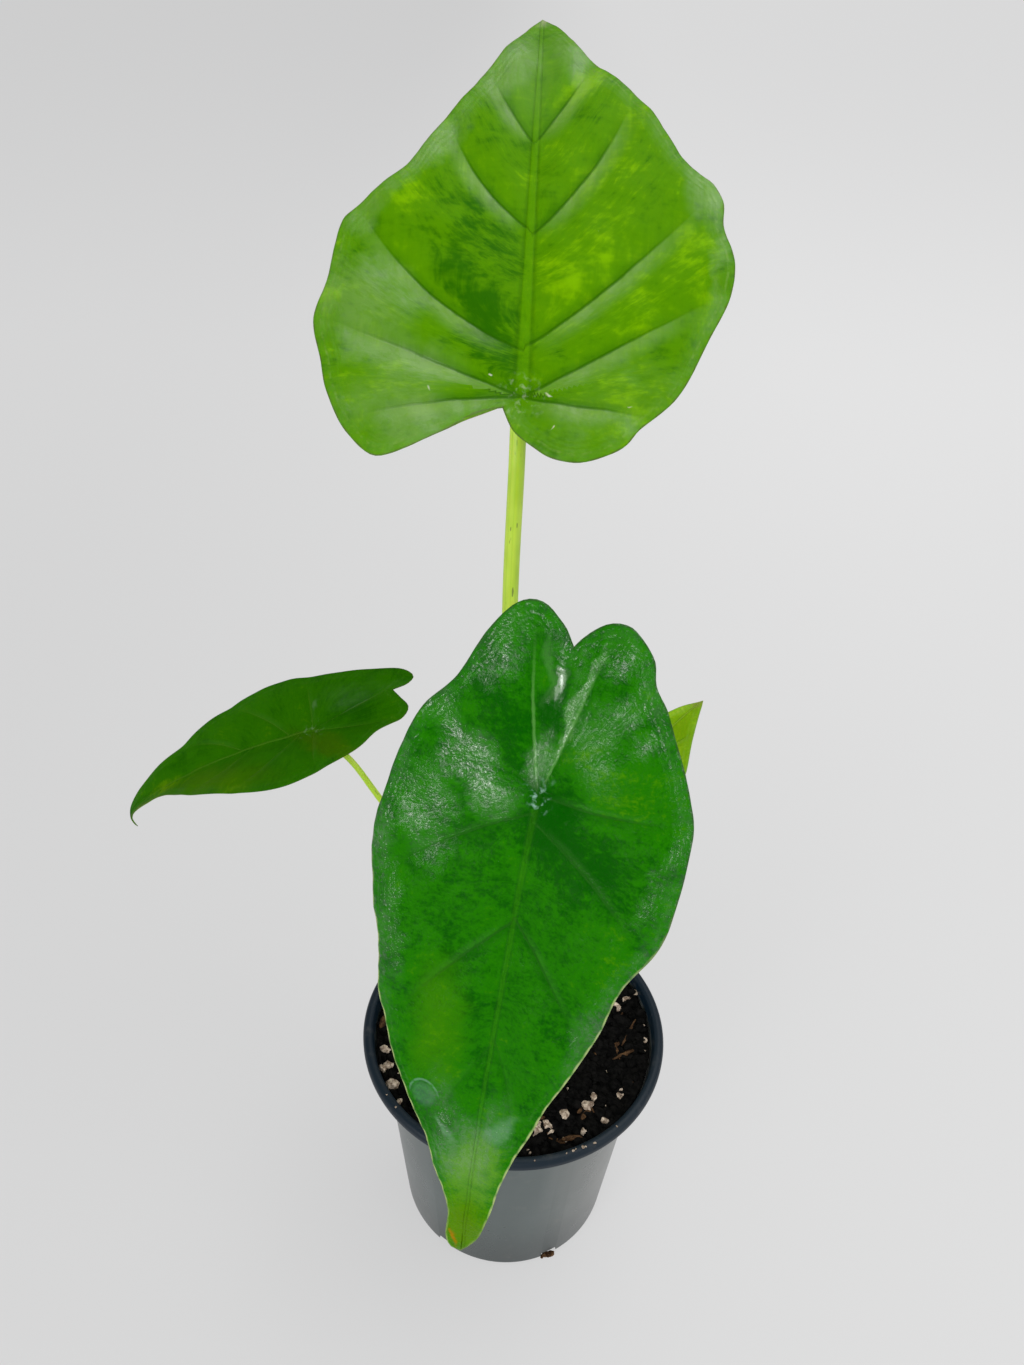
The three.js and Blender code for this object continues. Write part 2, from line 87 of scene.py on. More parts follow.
class Wire:
    # an output of a node: arithmetic on it, or one of these functions, adds the node that does it
    def __init__(self, tree, socket):
        self.tree = tree
        self.socket = socket

    def math(self, operation, *others):
        return put(self.tree, "ShaderNodeMath", enumerate((self, *others)), operation=operation)

    def vector(self, operation, *others, out=0):
        return put(self.tree, "ShaderNodeVectorMath", enumerate((self, *others)), out=out,
                   operation=operation)

    def __add__(self, other):
        return self.math("ADD", other)

    def __sub__(self, other):
        return self.math("SUBTRACT", other)

    def __rsub__(self, other):
        return put(self.tree, "ShaderNodeMath", {0: other, 1: self}, operation="SUBTRACT")

    def __mul__(self, other):
        return self.math("MULTIPLY", other)

    def __abs__(self):
        return self.math("ABSOLUTE")

    def larger(self, other):
        return self.math("MAXIMUM", other)

    def clamped(self):
        return put(self.tree, "ShaderNodeClamp", {"Value": self})

    def scaled(self, factor):
        return put(self.tree, "ShaderNodeVectorMath", {0: self, "Scale": factor}, operation="SCALE")

    def beside(self, out):
        # another output of the same node
        return Wire(self.tree, self.socket.node.outputs[out])

    def split(self):
        first = put(self.tree, "ShaderNodeSeparateXYZ", {0: self})
        return first, first.beside(1), first.beside(2)

    def ramp(self, low, high, first=0.0, last=1.0):
        inputs = {"Value": self, "From Min": low, "From Max": high, "To Min": first, "To Max": last}
        return put(self.tree, "ShaderNodeMapRange", inputs, interpolation_type="SMOOTHSTEP")

    def mix(self, first, second):
        # the first colour where this is 0, the second where it is 1
        return put(self.tree, "ShaderNodeMix", {0: self, 6: first, 7: second}, out=2, data_type="RGBA")

    def stretched(self, scale):
        return put(self.tree, "ShaderNodeMapping", {"Vector": self, "Scale": scale})

    def noise(self, scale, detail=2.0, roughness=0.5, distortion=0.0, out="Fac"):
        return put(self.tree, "ShaderNodeTexNoise", {
            "Vector": self, "Scale": scale, "Detail": detail, "Roughness": roughness,
            "Distortion": distortion}, out=out)

    def then(self, kind, inputs=(), **settings):
        # the next node along a chain of geometry
        return put(self.tree, kind, {"Geometry": self, **dict(inputs)}, **settings)


def put(tree, kind, inputs=(), out=0, **settings):
    # adds a node with its settings and inputs, and returns one of its outputs
    made = tree.nodes.new(kind)
    for name, value in settings.items():
        setattr(made, name, value)
    for key, value in dict(inputs).items():
        feed(made.inputs[key], value)
    return Wire(tree, made.outputs[out])


def feed(socket, value):
    if isinstance(value, Wire):
        value.tree.links.new(value.socket, socket)
    elif socket.type == "RGBA" and len(value) == 3:
        socket.default_value = (*value, 1)
    else:
        socket.default_value = value


def feedAll(shader, values):
    for key, value in values.items():
        feed(shader.inputs[key], value)


def attribute(tree, name, out="Vector"):
    return put(tree, "ShaderNodeAttribute", out=out, attribute_type="GEOMETRY", attribute_name=name)


def objectPlace(tree):
    return put(tree, "ShaderNodeTexCoord", out="Object")


def bump(height, depth=mm, strength=1.0):
    inputs = {"Height": height, "Distance": depth, "Strength": strength}
    return put(height.tree, "ShaderNodeBump", inputs, out="Normal")


def newMaterial(name):
    material = bpy.data.materials.new(name)
    material.use_nodes = True
    return material, material.node_tree, material.node_tree.nodes["Principled BSDF"]


def newGroup(name, kind, inputs, outputs):
    tree = bpy.data.node_groups.new(name, kind)
    for label, socketKind, *value in inputs:
        socket = tree.interface.new_socket(label, in_out="INPUT", socket_type="NodeSocket" + socketKind)
        if value:
            socket.default_value = value[0]
    for label, socketKind in outputs:
        tree.interface.new_socket(label, in_out="OUTPUT", socket_type="NodeSocket" + socketKind)
    inside = {socket.name: Wire(tree, socket) for socket in tree.nodes.new("NodeGroupInput").outputs}
    return tree, inside, tree.nodes.new("NodeGroupOutput").inputs


# Effects that several materials share

def makeSpeckGroup():
    # scattered round specks: one in some cells of a Voronoi pattern
    group, inside, result = newGroup("dustSpecks", "ShaderNodeTree", [
        ("Place", "Vector"), ("Scale", "Float", 0.5), ("Size", "Float", 0.12), ("Share", "Float", 0.3),
    ], [("Mask", "Float")])
    place, size = inside["Place"], inside["Size"]
    cells = {"Vector": place, "Scale": inside["Scale"]}
    reach = put(group, "ShaderNodeTexVoronoi", cells, out="Distance")
    luck, other, _ = reach.beside("Color").split()
    radius = size * (other * 0.8 + 0.4)
    dot = (reach + place.noise(6.0) * 0.1).ramp(radius, radius * 0.6)
    feed(result["Mask"], dot * luck.math("LESS_THAN", inside["Share"]))
    return group


def makeStreakGroup():
    # streaks that run along the second axis of Grain, with soft ends
    group, inside, result = newGroup("leafStreaks", "ShaderNodeTree", [
        ("Grain", "Vector"), ("Across", "Float", 8.0), ("Along", "Float", 0.6),
    ], [("Value", "Float")])
    size = put(group, "ShaderNodeCombineXYZ", {0: inside["Across"], 1: inside["Along"], 2: 1.0})
    feed(result["Value"], inside["Grain"].vector("MULTIPLY", size).noise(1.0, 3.0, 0.6, 0.4))
    return group


def makeSkinGroup():
    # the fine, uneven skin of a leaf: small cells pulled along the veins, on soft wrinkles
    group, inside, result = newGroup("leafSkin", "ShaderNodeTree", [
        ("Place", "Vector"), ("Grain", "Vector"), ("Cells", "Float", 1.6), ("Wrinkles", "Float", 0.5),
    ], [("Height", "Float")])
    place = inside["Place"]
    bent = place.vector("ADD", place.noise(0.8, out="Color"))
    cells = put(group, "ShaderNodeTexVoronoi", {"Vector": bent, "Scale": inside["Cells"]},
                feature="SMOOTH_F1")
    lines = inside["Grain"].stretched((26, 2.2, 1)).noise(1.0, 3.0, 0.6)
    wrinkles = place.noise(inside["Wrinkles"], 3.0, 0.6)
    feed(result["Height"], cells * 0.5 + lines * 0.6 + wrinkles * 1.2)
    return group


speckGroup = makeSpeckGroup()
streakGroup = makeStreakGroup()
skinGroup = makeSkinGroup()


def specks(place, scale, size, share):
    inputs = {"Place": place, "Scale": scale, "Size": size, "Share": share}
    return put(place.tree, "ShaderNodeGroup", inputs, node_tree=speckGroup)


def streaks(grain, across, along):
    inputs = {"Grain": grain, "Across": across, "Along": along}
    return put(grain.tree, "ShaderNodeGroup", inputs, node_tree=streakGroup)


# Curves

def catmullRom(points, perSpan=24):
    # centripetal curve through all points, as a dense run of places
    points = np.array(points, float)
    padded = np.vstack([2 * points[0] - points[1], points, 2 * points[-1] - points[-2]])
    run = []
    for i in range(len(points) - 1):
        before, start, end, after = padded[i:i + 4]
        gaps = [max(np.linalg.norm(b - a), 1e-6) ** 0.5
                for a, b in ((before, start), (start, end), (end, after))]
        leave = ((start - before) / gaps[0] - (end - before) / (gaps[0] + gaps[1])
                 + (end - start) / gaps[1]) * gaps[1]
        arrive = ((end - start) / gaps[1] - (after - start) / (gaps[1] + gaps[2])
                  + (after - end) / gaps[2]) * gaps[1]
        t = np.linspace(0, 1, perSpan, endpoint=False)[:, None]
        run.append((2 * t**3 - 3 * t**2 + 1) * start + (t**3 - 2 * t**2 + t) * leave
                   + (-2 * t**3 + 3 * t**2) * end + (t**3 - t**2) * arrive)
    return np.vstack([*run, points[-1:]])


def atShares(run, shares):
    # the places at the given shares of a run's length
    steps = np.linalg.norm(np.diff(run, axis=0), axis=1)
    reached = np.concatenate([[0], np.cumsum(steps)])
    wanted = np.asarray(shares) * reached[-1]
    return np.stack([np.interp(wanted, reached, run[:, k]) for k in range(run.shape[1])], axis=1)


def unit(vectors):
    return vectors / np.maximum(np.linalg.norm(vectors, axis=-1, keepdims=True), 1e-12)


# Leaf blades. u runs from the stalk's junction along the midrib, v across it, positive on the left.

bladeMesh = {
    "thickness": 0.6,
    "edgeThickness": 0.26,
    "fullFrom": 6,          # from the margin to where the blade has its full thickness
    "rimBulge": 0.1,        # how far the middle of the rim stands out
    "rimSamples": 260,      # places on the margin that distances are measured to
    "ribDepth": 1.7,        # of the midrib under the leaf
    "ribWidth": 1.9,
    "veinRidge": 0.7,       # of the side veins under the leaf
    "veinRidgeWidth": 0.9,
}


def bladeAxes(leaf):
    heading, rise, roll = (math.radians(leaf[key]) for key in ("heading", "rise", "roll"))
    along = Vector((math.cos(rise) * math.cos(heading), math.cos(rise) * math.sin(heading),
                    math.sin(rise)))
    across = Vector((-math.sin(heading), math.cos(heading), 0))
    across.rotate(Matrix.Rotation(roll, 3, along))
    up = along.cross(across)
    return np.array(along), np.array(across), np.array(up)


def midribDirection(leaf, axes, u):
    along, across, up = axes
    part = u / leaf["span"]
    droop = leaf["droop"] * part + leaf["tipDroop"] * np.abs(part) ** leaf["tipPower"]
    bend = np.where(u > 0, droop, leaf["lobeDroop"] * part)[..., None]
    swing = (leaf["sweep"] * part)[..., None]
    return (np.cos(bend) * along - np.sin(bend) * up) * np.cos(swing) + np.sin(swing) * across


def midribPoint(leaf, axes, u, steps=16):
    point = np.zeros(u.shape + (3,)) + np.array(leaf["junction"], float)
    for k in range(steps):
        point = point + midribDirection(leaf, axes, u * (k + 0.5) / steps) * (u / steps)[..., None]
    return point


def veinRun(vein, count=16):
    start, bend, end = (np.array(point, float) for point in vein)
    t = np.linspace(0, 1, count)[:, None]
    return (1 - t) ** 2 * start + 2 * t * (1 - t) * bend + t * t * end


def distanceToRun(run, u, v):
    # distance to a run of points, signed side of it, and the share of its length at the nearest place
    best = np.full(u.shape, 1e9)
    side = np.zeros(u.shape)
    share = np.zeros(u.shape)
    for k in range(len(run) - 1):
        step = run[k + 1] - run[k]
        du = u - run[k][0]
        dv = v - run[k][1]
        along = np.clip((du * step[0] + dv * step[1]) / (step @ step), 0, 1)
        gap = np.hypot(du - along * step[0], dv - along * step[1])
        closer = gap < best
        best = np.where(closer, gap, best)
        side = np.where(closer, np.sign(step[0] * dv - step[1] * du), side)
        share = np.where(closer, (k + along) / (len(run) - 1), share)
    return best, side, share


def veinGroove(leaf, u, v):
    # smooth least distance to the midrib and the side veins, as the depth of the groove along them
    softness = 0.8
    near = np.exp(-np.where(u > 0, np.abs(v), np.hypot(u, v)) * softness)
    for vein in leaf["veins"]:
        near = near + np.exp(-distanceToRun(veinRun(vein, 10), u, v)[0] * softness)
    distance = np.maximum(-np.log(near) / softness, 0)
    rounded = np.hypot(distance, 0.8) - 0.8
    return leaf["veinDepth"] * np.exp(-((rounded / (0.86 * leaf["veinWidth"])) ** 1.3))


def makePuckers(seed, count=26):
    # directions, wave numbers and phases of the waves that make up the gentle bumps between the veins
    chance = np.random.default_rng(seed)
    turn = chance.uniform(0, 2 * np.pi, count)
    wave = 2 * np.pi / chance.uniform(8, 24, count)
    return wave * np.cos(turn), wave * np.sin(turn), chance.uniform(0, 2 * np.pi, count)


def puckerHeight(leaf, u, v):
    if "puckerWaves" not in leaf:
        leaf["puckerWaves"] = makePuckers(leaf["seed"])
    height = np.zeros(u.shape)
    for waveU, waveV, phase in zip(*leaf["puckerWaves"]):
        height = height + np.cos(waveU * u + waveV * v + phase)
    return leaf["pucker"] * height / math.sqrt(len(leaf["puckerWaves"][0]))


def foldHeight(leaf, u, v):
    # listed swellings and hollows: (u, v, half length, half width, turn in degrees, height)
    height = np.zeros(u.shape)
    for middleU, middleV, length, width, turn, rise in leaf["folds"]:
        angle = math.radians(turn)
        a = ((u - middleU) * math.cos(angle) + (v - middleV) * math.sin(angle)) / length
        b = ((v - middleV) * math.cos(angle) - (u - middleU) * math.sin(angle)) / width
        height = height + rise * np.exp(-a * a - b * b)
    return height


def bladePoint(leaf, axes, u, v):
    along = midribDirection(leaf, axes, u)
    up = unit(np.cross(along, axes[1]))
    across = np.cross(up, along)
    turn = leaf["camber"] / 50
    fold = leaf["fold"]
    width = np.abs(v)
    softWidth = np.hypot(width, 2) - 2
    reach = (math.sin(fold) - np.sin(fold - turn * width)) / turn
    height = (np.cos(fold - turn * softWidth) - math.cos(fold)) / turn
    height = height - veinGroove(leaf, u, v) + puckerHeight(leaf, u, v) + foldHeight(leaf, u, v)
    return (midribPoint(leaf, axes, u) + (np.sign(v) * reach)[..., None] * across
            + height[..., None] * up)


def bladeNormal(leaf, axes, u, v, step=0.3):
    ahead = bladePoint(leaf, axes, u + step, v) - bladePoint(leaf, axes, u - step, v)
    aside = bladePoint(leaf, axes, u, v + step) - bladePoint(leaf, axes, u, v - step)
    return unit(np.cross(ahead, aside))


def sideFields(leaf, u, v, sign):
    # for one half: signed and plain distance to its nearest vein, the share along that vein, and
    # grain, which counts the veins from the lobe to the tip and runs smoothly between them
    across = np.full(u.shape, 9.0)
    near = np.full(u.shape, 1e9)
    share = np.zeros(u.shape)
    own = [vein for vein in leaf["veins"] if vein[2][1] * sign > 0]
    weights = 1 / (distanceToRun(np.array([[0, 0], leaf["notch"]], float), u, v)[0] + 0.3) ** 2
    counted = np.zeros(u.shape)
    summed = weights.copy()
    for number, vein in enumerate(own, 1):
        gap, side, along = distanceToRun(veinRun(vein), u, v)
        closer = gap < near
        across = np.where(closer, -side * sign * gap, across)
        share = np.where(closer, along, share)
        near = np.minimum(near, gap)
        weight = 1 / (gap + 0.3) ** 2
        counted += number * weight
        summed += weight
    weight = 1 / (np.hypot(u - leaf["tip"][0], v - leaf["tip"][1]) + 0.3) ** 2
    counted += (len(own) + 1) * weight
    summed += weight
    return np.clip(across, -9, 9), near, share, counted / summed


def ribHalfWidth(leaf, u):
    # half the width of the pale midrib on the upper face
    base, end = leaf["ribBand"]
    part = np.clip(u / leaf["tip"][0], 0, 1)
    return np.where(u > 0, base + (end - base) * part ** 0.8, base * np.exp(-((u / 3.5) ** 2)) + 0.05)


def makeBlade(name, leaf):
    # two halves, each of an upper sheet, a lower sheet and a rim between them
    size = bladeMesh
    rows, columns = leaf["rows"], leaf["columns"]
    axes = bladeAxes(leaf)
    midline = np.array([leaf["notch"], (0, 0), leaf["tip"]], float)
    shares = np.linspace(0, 1, rows + 1)
    inner = atShares(midline, shares ** 1.35)
    even = np.linspace(0, 1, columns + 1)
    spread = 0.45 * even + 0.55 * (1 - np.cos(np.pi * even)) / 2
    points, faces, fields = [], [], []

    for sign, key in ((1, "left"), (-1, "right")):
        margin = catmullRom([leaf["notch"], *leaf[key], leaf["tip"]])
        outer = atShares(margin, shares)
        flat = inner[:, None] + (outer - inner)[:, None] * spread[None, :, None]
        u, v = flat[..., 0], flat[..., 1]
        middle = bladePoint(leaf, axes, u, v)
        normal = bladeNormal(leaf, axes, u, v)
        across, near, share, grain = sideFields(leaf, u, v, sign)
        rimPlaces = atShares(margin, np.linspace(0, 1, size["rimSamples"]))
        edge = np.min(np.linalg.norm(flat[:, :, None] - rimPlaces, axis=3), axis=2)
        ribRatio = np.abs(v) / ribHalfWidth(leaf, u)
        # plate, thinner towards the margin
        full = np.clip(edge / size["fullFrom"], 0, 1)
        half = 0.5 * (size["edgeThickness"] + (size["thickness"] - size["edgeThickness"]) * full)
        # ribs and veins stand out of the underside
        runOut = np.where(u > 0, np.clip(1 - u / leaf["tip"][0], 0, 1), np.exp(-((u / 4) ** 2)))
        rib = (size["ribDepth"] * leaf["ribScale"] * np.sqrt(runOut)
               * np.exp(-((v / size["ribWidth"]) ** 2)))
        ridge = (size["veinRidge"] * leaf["ribScale"] * (1 - share) ** 0.7
                 * np.exp(-((near / size["veinRidgeWidth"]) ** 2)) * np.clip(edge / 2, 0, 1))
        under = half + np.maximum(rib, ridge)
        # upper face: the midrib swells a little in its groove
        swell = leaf["ribSwell"] * np.sqrt(runOut) * np.exp(-(ribRatio ** 2) * 1.2)
        curl = leaf["edgeCurl"] * np.exp(-edge / leaf["edgeCurlWidth"])
        upper = middle + normal * (half + swell + curl)[..., None]
        lower = middle - normal * (under - curl)[..., None]
        onward = unit(np.vstack([
            outer[1:2] - outer[:1], outer[2:] - outer[:-2], outer[-1:] - outer[-2:-1]]))
        outward = np.stack([onward[:, 1], -onward[:, 0]], axis=1) * -sign
        rimU, rimV = (outer + size["rimBulge"] * outward).T
        rim = bladePoint(leaf, axes, rimU, rimV) + normal[:, -1] * curl[:, -1:]
        veins = np.stack([across, near, share], axis=-1)
        rimEdges = []
        for level, sheet in ((0, upper), (1, lower)):
            base = sum(len(block) for block in points)
            points.append(sheet.reshape(-1, 3))
            edges = np.stack([edge, np.full(edge.shape, float(level)), ribRatio], axis=-1)
            grains = np.stack([grain, np.abs(v) / 10, np.full(v.shape, 3.0 * sign)], axis=-1)
            fields.append(np.concatenate([
                np.dstack([flat, 0 * u]), grains, veins, edges], axis=-1).reshape(-1, 12))
            index = base + np.arange(sheet[..., 0].size).reshape(u.shape)
            quads = np.stack([index[:-1, :-1], index[1:, :-1], index[1:, 1:], index[:-1, 1:]], axis=-1)
            if (sign > 0) == (level == 1):
                quads = quads[..., ::-1]
            faces.append(quads.reshape(-1, 4))
            rimEdges.append(index[:, -1])
        base = sum(len(block) for block in points)
        points.append(rim)
        fields.append(fields[-2].reshape(rows + 1, columns + 1, 12)[:, -1])
        rimIndex = base + np.arange(rows + 1)
        for first, second in ((rimEdges[0], rimIndex), (rimIndex, rimEdges[1])):
            quads = np.stack([first[:-1], first[1:], second[1:], second[:-1]], axis=-1)
            faces.append(quads if sign > 0 else quads[:, ::-1])

    mesh = bpy.data.meshes.new(name)
    mesh.from_pydata((np.vstack(points) * mm).tolist(), [], np.vstack(faces).tolist())
    labels = ("leafPlace", "leafGrain", "veinField", "edgeField")
    for label, values in zip(labels, np.split(np.vstack(fields), 4, axis=1)):
        storeVectors(mesh, label, values)
    return closeMesh(mesh)


def storeVectors(mesh, label, values):
    layer = mesh.attributes.new(label, "FLOAT_VECTOR", "POINT")
    layer.data.foreach_set("vector", values.astype(np.float32).ravel())


def closeMesh(mesh, gap=2e-6):
    # merges doubled points, drops empty faces and turns all faces outwards
    work = bmesh.new()
    work.from_mesh(mesh)
    bmesh.ops.remove_doubles(work, verts=work.verts, dist=gap)
    bmesh.ops.dissolve_degenerate(work, edges=work.edges, dist=gap / 2)
    bmesh.ops.recalc_face_normals(work, faces=work.faces)
    work.to_mesh(mesh)
    work.free()
    for face in mesh.polygons:
        face.use_smooth = True
    mesh.update()
    return mesh


def addPiece(name, mesh, replaced, material):
    mesh.materials.clear()
    mesh.materials.append(material)
    piece = addToScene(name, mesh)
    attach(piece, "root")
    if replaced:
        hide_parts(*replaced)
    print(name, len(mesh.polygons), "faces")


# Material of a blade: mottled green, veins and midrib, margin, gloss, dust, and the paler underside

def ovalMask(place, u, v, length, width, turn):
    # 1 at the middle of a soft oval, 0 outside it; sizes in mm, turn in degrees from the midrib
    inputs = {"Vector": place, "Location": (u, v, 0), "Rotation": (0, 0, math.radians(turn)),
              "Scale": (length, width, 1)}
    local = put(place.tree, "ShaderNodeMapping", inputs, vector_type="TEXTURE")
    distance = local.vector("LENGTH", out="Value")
    return distance.ramp(1.0, 0.15), distance


def sumOfOvals(place, ovals, value=0.0):
    for *oval, amount in ovals:
        value = ovalMask(place, *oval)[0] * amount + value
    return value


def makeLeafMaterial(name, look):
    material, tree, shader = newMaterial(name)
    place = attribute(tree, "leafPlace")
    grain = attribute(tree, "leafGrain")
    across, near, share = attribute(tree, "veinField").split()
    edge, under, ribRatio = attribute(tree, "edgeField").split()
    lengthwise, sideways, _ = place.split()
    warp = place.noise(0.13, 3.0, out="Color").vector("SUBTRACT", (0.5, 0.5, 0.5))
    loose = place.vector("ADD", warp.vector("MULTIPLY", (9, 9, 0)))  # mm

    # green: flecks along the veins, clouds between them
    flecks = streaks(grain, look["fleckAcross"], look["fleckAlong"])
    fine = streaks(grain, look["fleckAcross"] * 3, look["fleckAlong"] * 3.5)
    clouds = place.noise(look["cloudScale"], 3.0, 0.55, 0.5)
    cells = place.stretched((1.0, 0.45, 1)).noise(look["cellScale"], 2.0, 0.7)
    skin = put(tree, "ShaderNodeGroup", {"Place": place, "Grain": grain, "Cells": look["cells"],
                                         "Wrinkles": look["wrinkles"]}, node_tree=skinGroup)
    tone = ((flecks - 0.5) * look["fleckAmount"] + (fine - 0.5) * (look["fleckAmount"] * 0.55)
            + (clouds - 0.5) * look["cloudAmount"] + (cells - 0.5) * look["cellAmount"]
            + (skin - 1.07) * look["skinTone"] + look["tone"])
    tone = sumOfOvals(loose, look["tonePatches"], tone)
    lower = tone.ramp(0.0, 0.5).mix(look["dark"], look["middle"])
    colour = tone.ramp(0.5, 1.0).mix(lower, look["light"])

    # in the lobes the two main veins are paler and the others fade, as do the last ones at the tip
    inLobe = lengthwise.ramp(0.0, -6.0)
    mainVein = (lengthwise * 0.5 + abs(sideways)).ramp(0.6, -1.2)
    kept = 1 - inLobe * look["lobeFade"] * (1 - mainVein)
    kept = kept * lengthwise.ramp(50.0, 66.0, 1.0, look["tipVeins"])

    # side veins: a thin line, with a band of painted sheen on the side towards the lobes and painted
    # shade on the other
    reach = share.ramp(1.0, 0.45)
    clear = (near - abs(across)).ramp(1.5, 0.9) * kept * reach
    uneven = place.noise(0.6)
    width = (uneven * 1.2 + 0.4) * look["veinLine"]
    line = abs(across).ramp(width, width * 0.2) * clear
    sheenBand = across.ramp(-look["bandWidth"], -0.6) * across.ramp(0.1, -0.5) * clear
    sheenBand = sheenBand * share.ramp(0.02, 0.3) * lengthwise.ramp(-9.0, 2.0, look["lobeBand"], 1.0)
    shade = across.ramp(2.6, 0.5) * across.ramp(-0.3, 0.3) * clear
    # painted shade on one side of each vein, then painted sheen on the other
    colour = (shade * look["shadeAmount"]).mix(colour, look["dark"])
    colour = (sheenBand * (flecks * 0.6 + 0.7) * look["bandAmount"]).mix(colour, look["sheenBand"])
    veinColour = (inLobe * mainVein).mix(look["vein"], look.get("lobeVein", look["vein"]))
    colour = (line * look["veinAmount"]).mix(colour, veinColour)

    # midrib: a soft channel between two thin lines, which fades at the junction
    begun = lengthwise.ramp(-1.5, 4.0)
    ribSide = ribRatio.ramp(0.65, 1.1) * ribRatio.ramp(1.9, 1.1) * begun * (uneven * 1.4 + 0.2)
    colour = (ribSide * look["ribLineAmount"]).mix(colour, look["vein"])
    colour = (ribRatio.ramp(1.15, 0.6) * begun * look["ribAmount"]).mix(colour, look["rib"])

    # margin: a thin rim, paler towards the tip, and a faint line just inside it
    towardsTip = lengthwise.ramp(look["marginFrom"], look["marginFrom"] + 40)
    rimMask = edge.ramp(look["marginWidth"], look["marginWidth"] * 0.3) * look["marginAmount"]
    colour = rimMask.mix(colour, towardsTip.mix(look["rimDark"], look["rimLight"]))
    inner = edge.ramp(1.3, 1.7) * edge.ramp(2.3, 1.9) * uneven.ramp(0.4, 0.7, 0.0, look["innerLine"])
    colour = inner.mix(colour, look["sheenBand"])

    # marks of other colours
    for *oval, amount, tint in look["marks"]:
        colour = (ovalMask(loose, *oval)[0] * amount).mix(colour, tint)

    # dust: specks all over and more of them at the junction, and dried rings of water
    junctionNear = loose.vector("LENGTH", out="Value").ramp(look["filmReach"], 1.0)
    most = junctionNear * look["junctionSpecks"] + look["specks"]
    dust = specks(loose, 0.2, 0.055, most).larger(specks(place, 0.55, 0.09, most))
    film = junctionNear * uneven.ramp(0.5, 0.75, 0.0, look["junctionFilm"])
    for u, v, radius, strength in look["rings"]:
        distance = ovalMask(place, u, v, radius, radius * 0.8, 20)[1]
        ring = distance.ramp(0.8, 0.93) * distance.ramp(1.04, 0.95) * strength
        ring = ring * lengthwise.ramp(u + radius * 0.3, u - radius * 0.5) * uneven.ramp(0.2, 0.55)
        film = film.larger(ring).larger(distance.ramp(1.0, 0.5, 0.0, 0.12))
    colour = (dust * 0.55).larger(film).mix(colour, look["dust"])

    # waxy bloom and painted sheen: the glossy patches are painted a little paler as well
    patches = sumOfOvals(loose, look["glossPatches"])
    colour = ((flecks * 0.8 + 0.4) * patches * look["bloomAndSheenAmount"]).mix(colour, look["sheenBand"])

    # underside
    ridge = near.ramp(1.6, 0.5) * reach
    below = (flecks * 0.5).mix(look["under"], look["light"])
    below = ridge.larger(ribRatio.ramp(1.6, 1.0)).mix(below, look["underRib"])

    # gloss: a clear coat, strongest along the bands, the rim and the listed patches
    rimGloss = edge.ramp(look["rimGlossReach"], 1.0) * lengthwise.ramp(
        look["rimGlossEnd"], look["rimGlossEnd"] - 30, 0.0, look["rimGloss"])
    worn = grain.stretched((9, 2.5, 1)).noise(1.0, 4.0, 0.65)
    gloss = sheenBand * look["bandGloss"] + rimGloss + patches + look["gloss"]
    gloss = (gloss * worn.ramp(0.3, 0.65, 0.35, 1.15)
             * skin.ramp(0.8, 1.35, 1.0 + look["glint"], 1.0 - look["glint"]))

    # relief: one bump for the surface and its coat, with ripples along the margin and a few calm places
    ripple = (edge * 4.5 + clouds * 9.0).math("SINE") * edge.ramp(7.5, 3.5, 0.0, look["rimRipple"])
    skinRelief = skin * look["skinDepth"]
    for *oval, amount in look["calmPatches"]:
        skinRelief = skinRelief * (1 - (ovalMask(place, *oval)[0] * amount).clamped())
    relief = bump(skinRelief + line * -0.12 + ribSide * -0.12 + dust * 0.06
                  + ripple * uneven.ramp(0.3, 0.6))

    feedAll(shader, {
        "Base Color": under.mix(colour, below), "Roughness": dust * 0.3 + look["roughness"],
        "Coat Weight": (gloss * (1 - under * 0.8)).clamped(), "Normal": relief, "Coat Normal": relief,
        "Coat Roughness": look["coatRoughness"], "Coat IOR": look["coatIor"],
        "Subsurface Weight": look["glow"], "Subsurface Radius": (0.4, 1.0, 0.1),
        "Subsurface Scale": 1.2 * mm,
        "Specular IOR Level": look["specular"], "Specular Tint": (0.75, 1.0, 0.3),
    })
    return material


# What the four leaves share, which each of them may set for itself

plainBlade = {
    "roll": 0, "sweep": 0,                  # the leaf round its midrib, and the midrib sideways
    "tipDroop": 0.1, "tipPower": 3, "lobeDroop": 0.1,
    "folds": [],                            # swellings: u, v, half length, half width, turn, height
    "rows": 150, "columns": 40, "ribScale": 1,
}

plainLook = {
    "fleckAcross": 8.0, "fleckAlong": 1.6, "fleckAmount": 0.6, "cloudScale": 0.09, "cellScale": 1.0,
    "tonePatches": [], "glossPatches": [],  # soft ovals: u, v, half length, half width, turn, amount
    "calmPatches": [],                      # the same, where the skin is smooth
    "veinLine": 0.4, "lobeFade": 0.0, "tipVeins": 1.0, "bandWidth": 2.0, "lobeBand": 0.5,
    "marginFrom": 0, "marginWidth": 0.35, "innerLine": 0.2,
    "specks": 0.03, "filmReach": 5, "bloomAndSheenAmount": 0.2,
    "rings": [],                            # dried drops: u, v, radius, strength
    "rimGlossReach": 3.0, "rimGlossEnd": 200, "glint": 0.3, "rimRipple": 0.02,
    "roughness": 0.5, "cells": 1.1, "wrinkles": 0.3, "skinTone": 0.15,
    "glow": 0.2, "specular": 0.03, "coatRoughness": 0.35, "coatIor": 1.5,
}


# The newest leaf, upright at the top

